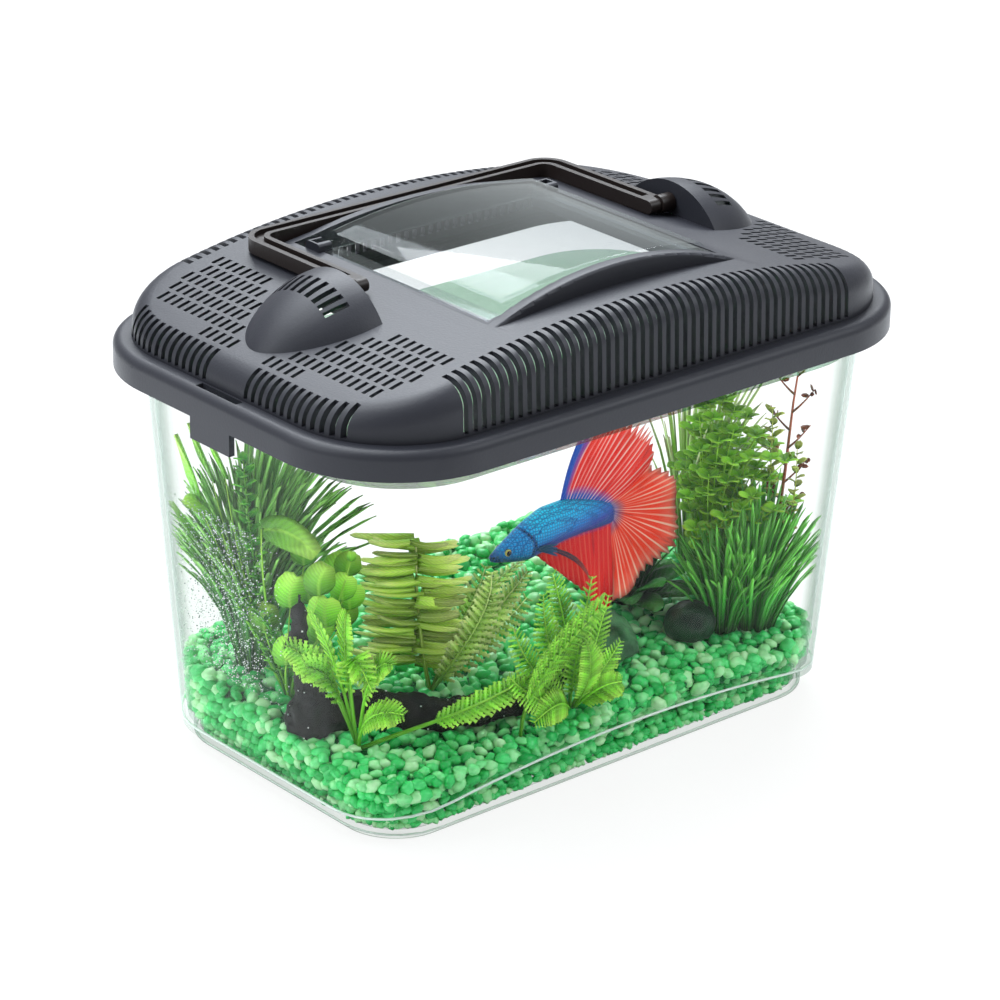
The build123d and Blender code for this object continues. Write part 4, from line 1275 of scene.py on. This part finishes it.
# %% Eyes
paint = Paint("betta_eye")
rings = paint.ramp(paint.number("share"), ((0.0, (0.002, 0.002, 0.003)), (0.20, (0.002, 0.002, 0.003)),
                                           (0.24, (0.55, 0.42, 0.06)), (0.33, (0.30, 0.30, 0.08)),
                                           (0.40, (0.005, 0.02, 0.05))))
eye_paint = paint.finish({"Base Color": rings, "Roughness": 0.08})
eye_radius = 1.35 * MM
eyes = []
for side in (-1, 1):
    bpy.ops.mesh.primitive_uv_sphere_add(segments=20, ring_count=14, radius=eye_radius)
    eye = bpy.context.object
    layer = eye.data.attributes.new("share", "FLOAT", "POINT")
    turns = [acos(max(-1, min(1, point.co.z / eye_radius))) / pi for point in eye.data.vertices]
    layer.data.foreach_set("value", turns)
    eye.rotation_euler = (radians(-90 * side), 0, radians(8 * side))
    eye.location = Vector((eye_x, fish_y + side * 1.75, eye_z)) * MM
    eye.data.shade_smooth()
    eyes.append(eye)
pick(*eyes)
bpy.ops.object.join()
eyes[0].name = "betta_eyes"
settle(eyes[0], "tank", "fish_blue", eye_paint, "betta_body")

# %% [markdown]
# ## Fins
# A betta's fins are thin webs between long rays. Each fin is a fan: one edge
# runs along the body, the other is the fin's rim, and every ray joins the two.
# The web between two rays falls short of the rim, which gives the frayed edge,
# and the sheet swings from side to side like cloth. The fan's two directions
# become its UV map, so paint can follow the rays exactly.

# %% Build a fan
def smooth_line(points, shares):
    """Places along a line through points, evenly by length."""
    points = np.array(points, dtype=float)
    run = np.concatenate(([0], np.cumsum(np.linalg.norm(np.diff(points, axis=0), axis=1))))
    run /= run[-1]
    return np.stack([np.interp(shares, run, points[:, k]) for k in range(points.shape[1])], axis=1)


def fin_fan(name, base, rim, rays, fray, swing, curve):
    """A rayed fin between a line on the body and its rim, in the fish's plane."""
    columns, rows = rays * 4 + 1, 15
    u = np.linspace(0, 1, columns)
    v = np.linspace(0, 1, rows)
    inner = smooth_line(base, u)
    outer = smooth_line(rim, u)
    notch = 1 - fray * (0.5 - 0.5 * np.cos(2 * pi * rays * u)) * (0.6 + 0.4 * np.sin(11 * u + 1))
    outer = inner + (outer - inner) * notch[:, None]
    points, faces = [], []
    for i in range(columns):
        for share in v:
            place = inner[i] + (outer[i] - inner[i]) * share
            normal = np.array((-(outer[i] - inner[i])[1], (outer[i] - inner[i])[0]))
            place = place + normal * curve * sin(pi * share) * (0.5 - u[i])
            wave = swing * share ** 1.5 * sin(2 * pi * (2.6 * u[i] + 0.25 * share))
            pleat = 0.30 * share * cos(2 * pi * rays * u[i])
            points.append((place[0] * MM, (fish_y + wave + pleat) * MM, place[1] * MM))
    for i in range(columns - 1):
        for first in range(i * rows, i * rows + rows - 1):
            faces.append((first, first + rows, first + rows + 1, first + 1))
    fan = new_mesh(name, points, faces)
    layer = fan.data.uv_layers.new(name="UVMap")
    for loop in fan.data.loops:
        layer.data[loop.index].uv = (u[loop.vertex_index // rows], v[loop.vertex_index % rows])
    modifier(fan, "SOLIDIFY", thickness=0.22 * MM, offset=0)
    return fan


# %% Fin paint
def fin_paint(name, rays, length_stops, ray_colour, ray_share, lead_colour, lead_width, rim_dark):
    """Rays along U, colour from body to rim along V, and a coloured leading edge."""
    paint = Paint(name)
    flat = paint.add("UVMap", uv_map="UVMap")
    axes = paint.add("SeparateXYZ", {"Vector": flat}).outputs
    tone = paint.ramp(axes["Y"], length_stops)
    ridge = paint.span(paint.calc("COSINE", paint.calc("MULTIPLY", axes["X"], tau * rays)), 0.35, 0.95)
    cloud = paint.noise(1.0, 3, paint.add("Mapping", {"Vector": flat, "Scale": (rays * 0.55, 1.1, 1)}))
    pale = paint.calc("MULTIPLY", ridge, paint.span(cloud, 0.34, 0.58))
    tone = paint.blend(paint.calc("MULTIPLY", pale, ray_share), tone, ray_colour)
    dark = paint.calc("MULTIPLY", paint.span(cloud, 0.40, 0.28), 0.55)
    tone = paint.blend(dark, tone, (0.10, 0.004, 0.02))
    tone = paint.blend(paint.span(axes["X"], lead_width, lead_width * 0.45), tone, lead_colour)
    if rim_dark:
        rim = paint.calc("MULTIPLY", paint.span(axes["Y"], 0.90, 1.0), rim_dark)
        tone = paint.blend(rim, tone, (0.05, 0.01, 0.03))
    paint.bump(ridge, 0.5, 0.0003)
    return paint.finish({"Base Color": tone, "Roughness": 0.6, "Specular IOR Level": 0.12})


# %% Make the three fans
# Each fan: its name and rays, its line on the body, its rim, its fray, swing
# and curve, its colours from body to rim, and what fin_paint takes after them.
fans = (
    ("dorsal", 17, ((3.2, 76.6), (8, 76.2), (14, 74.4), (22.8, 70.9)),
     ((13.2, 98.6), (21, 99.4), (28, 98.6), (33, 96.6), (38, 95.8), (43.4, 89.8), (43, 84), (40, 79.8)),
     (0.20, 0.9, 0.12),
     ((0.0, (0.0, 0.09, 0.45)), (0.10, (0.02, 0.08, 0.40)), (0.22, (0.78, 0.012, 0.012)),
      (0.70, (0.90, 0.025, 0.015)), (1.0, (0.92, 0.06, 0.04))),
     ((0.95, 0.55, 0.48), 1.0, (0.01, 0.07, 0.42), 0.13, 0)),
    ("tail", 24, ((24.2, 71.4), (25.8, 69.4), (26.0, 67), (24.8, 64.9)),
     ((37, 81.8), (47, 78), (51.6, 73.6), (55.6, 66), (55.8, 58), (53, 49.8), (46, 43.8), (37, 38.4),
      (25.4, 37.6)),
     (0.14, 2.2, -0.06),
     ((0.0, (0.0, 0.12, 0.45)), (0.10, (0.30, 0.05, 0.12)), (0.20, (0.86, 0.035, 0.01)),
      (0.72, (0.92, 0.04, 0.012)), (1.0, (0.94, 0.16, 0.10))),
     ((0.97, 0.58, 0.42), 1.0, (0.03, 0.02, 0.10), 0.07, 0.45)),
    ("anal", 16, ((-6.5, 62.9), (0, 63.4), (8, 64.6), (17, 65.2), (25.6, 65.6)),
     ((-5.4, 61.6), (0, 56.2), (6, 51.4), (12, 46), (17, 39.6), (21.4, 32.6), (23.4, 32), (26.4, 40)),
     (0.07, 1.0, 0.0),
     ((0.0, (0.02, 0.05, 0.30)), (0.07, (0.70, 0.006, 0.01)), (0.6, (0.84, 0.01, 0.01)),
      (1.0, (0.74, 0.006, 0.01))),
     ((0.86, 0.16, 0.10), 0.6, (0.45, 0.02, 0.03), 0.05, 0)))
for name, rays, base, rim, form, stops, colours in fans:
    fan = fin_fan(name + "_fan", base, rim, rays, *form)
    settle(fan, "tank", "fish_red", fin_paint(name + "_paint", rays, stops, *colours), name + "_fin")

# %% Paired fins
fins = []
for side in (-1, 1):
    y = fish_y + side * 2.2
    path = ((-3, y, 64), (4, y + side * 1.5, 61.5), (10, y + side * 2.5, 57), (12, y + side * 3, 50.5))
    fins.append((broad_leaf, [Vector(point) * MM for point in path], 0.75, (0.3, 0, 1), 0.5))
grow("ventral_rays", fins, "fish_red",
     leaf_paint("dark_ventral", (0.02, 0.01, 0.04), (0.05, 0.008, 0.02), (0.45, 0.03, 0.02), 0.2),
     "ventral_fins")
fins = []
for side in (-1, 1):
    y = fish_y + side * 3.6
    for spread in (-1, -0.4, 0.2, 0.8):
        path = ((-10.2, y, 66.5), (-6, y + side * 1.6, 66 + 0.8 * spread),
                (-2.4, y + side * 2.4, 65 + 2.2 * spread))
        fins.append((grass_leaf, [Vector(point) * MM for point in path], 0.5, (0.1, 0, 1), 0.2))
grow("pectoral_rays", fins, "fish_blue",
     leaf_paint("pectoral_blue", (0.0, 0.04, 0.10), (0.0, 0.05, 0.14), (0.01, 0.08, 0.22), 0.2),
     "pectoral_fins")

# %% [markdown]
# ## Bubbles
# Fine bubbles cling to the inside of the left wall and to the wood. A bubble
# is a tiny coarse ball, repeated, and each one touches the surface that holds
# it. Each bubble is painted from dark grey-green to white by its tint, as
# painted glint and shade, which gives the speckled, sparkling look of a
# freshly filled tank.

# %% Bubbles on the left wall
bpy.ops.mesh.primitive_ico_sphere_add(subdivisions=1, radius=0.5)
bubble = bpy.context.object
places = []
tries = 2600
for _ in range(tries):
    y = random.gauss(16, 13)
    z = random.uniform(32, 88)
    size = random.uniform(0.22, 0.55)
    if -14 < y < 44:
        spot = kept_inside((-0.2, y * MM, z * MM), size * 0.45 * MM)
        places.append(Matrix.Translation(spot) @ Matrix.Scale(size * MM, 4))
for point in random.sample([v.co.copy() for v in wood.data.vertices if v.co.z > ground(v.co.x, v.co.y)], 70):
    size = random.uniform(0.4, 0.9)
    places.append(Matrix.Translation(point) @ Matrix.Scale(size * MM, 4))
# The grey-to-white colour set by each bubble's tint is painted glint and shade.
paint = Paint("bubble_painted_glint")
grey = paint.ramp(paint.number("tint"), ((0.0, (0.10, 0.16, 0.13)), (0.35, (0.35, 0.45, 0.40)),
                                         (0.6, (0.86, 0.90, 0.88)), (1.0, (1.0, 1.0, 1.0))))
bubble_paint = paint.finish({"Base Color": grey, "Roughness": 0.12})
bubbles = repeat([bubble], places, "clinging_bubbles")
discard(bubble)
settle(bubbles, "tank", "clear_plastic", bubble_paint)
print("bubbles", len(places))

# %% Print both boxes and finish
size = {"cad": [list(c) for c in cad_box], "visual": [list(c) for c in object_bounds()]}
print(size)
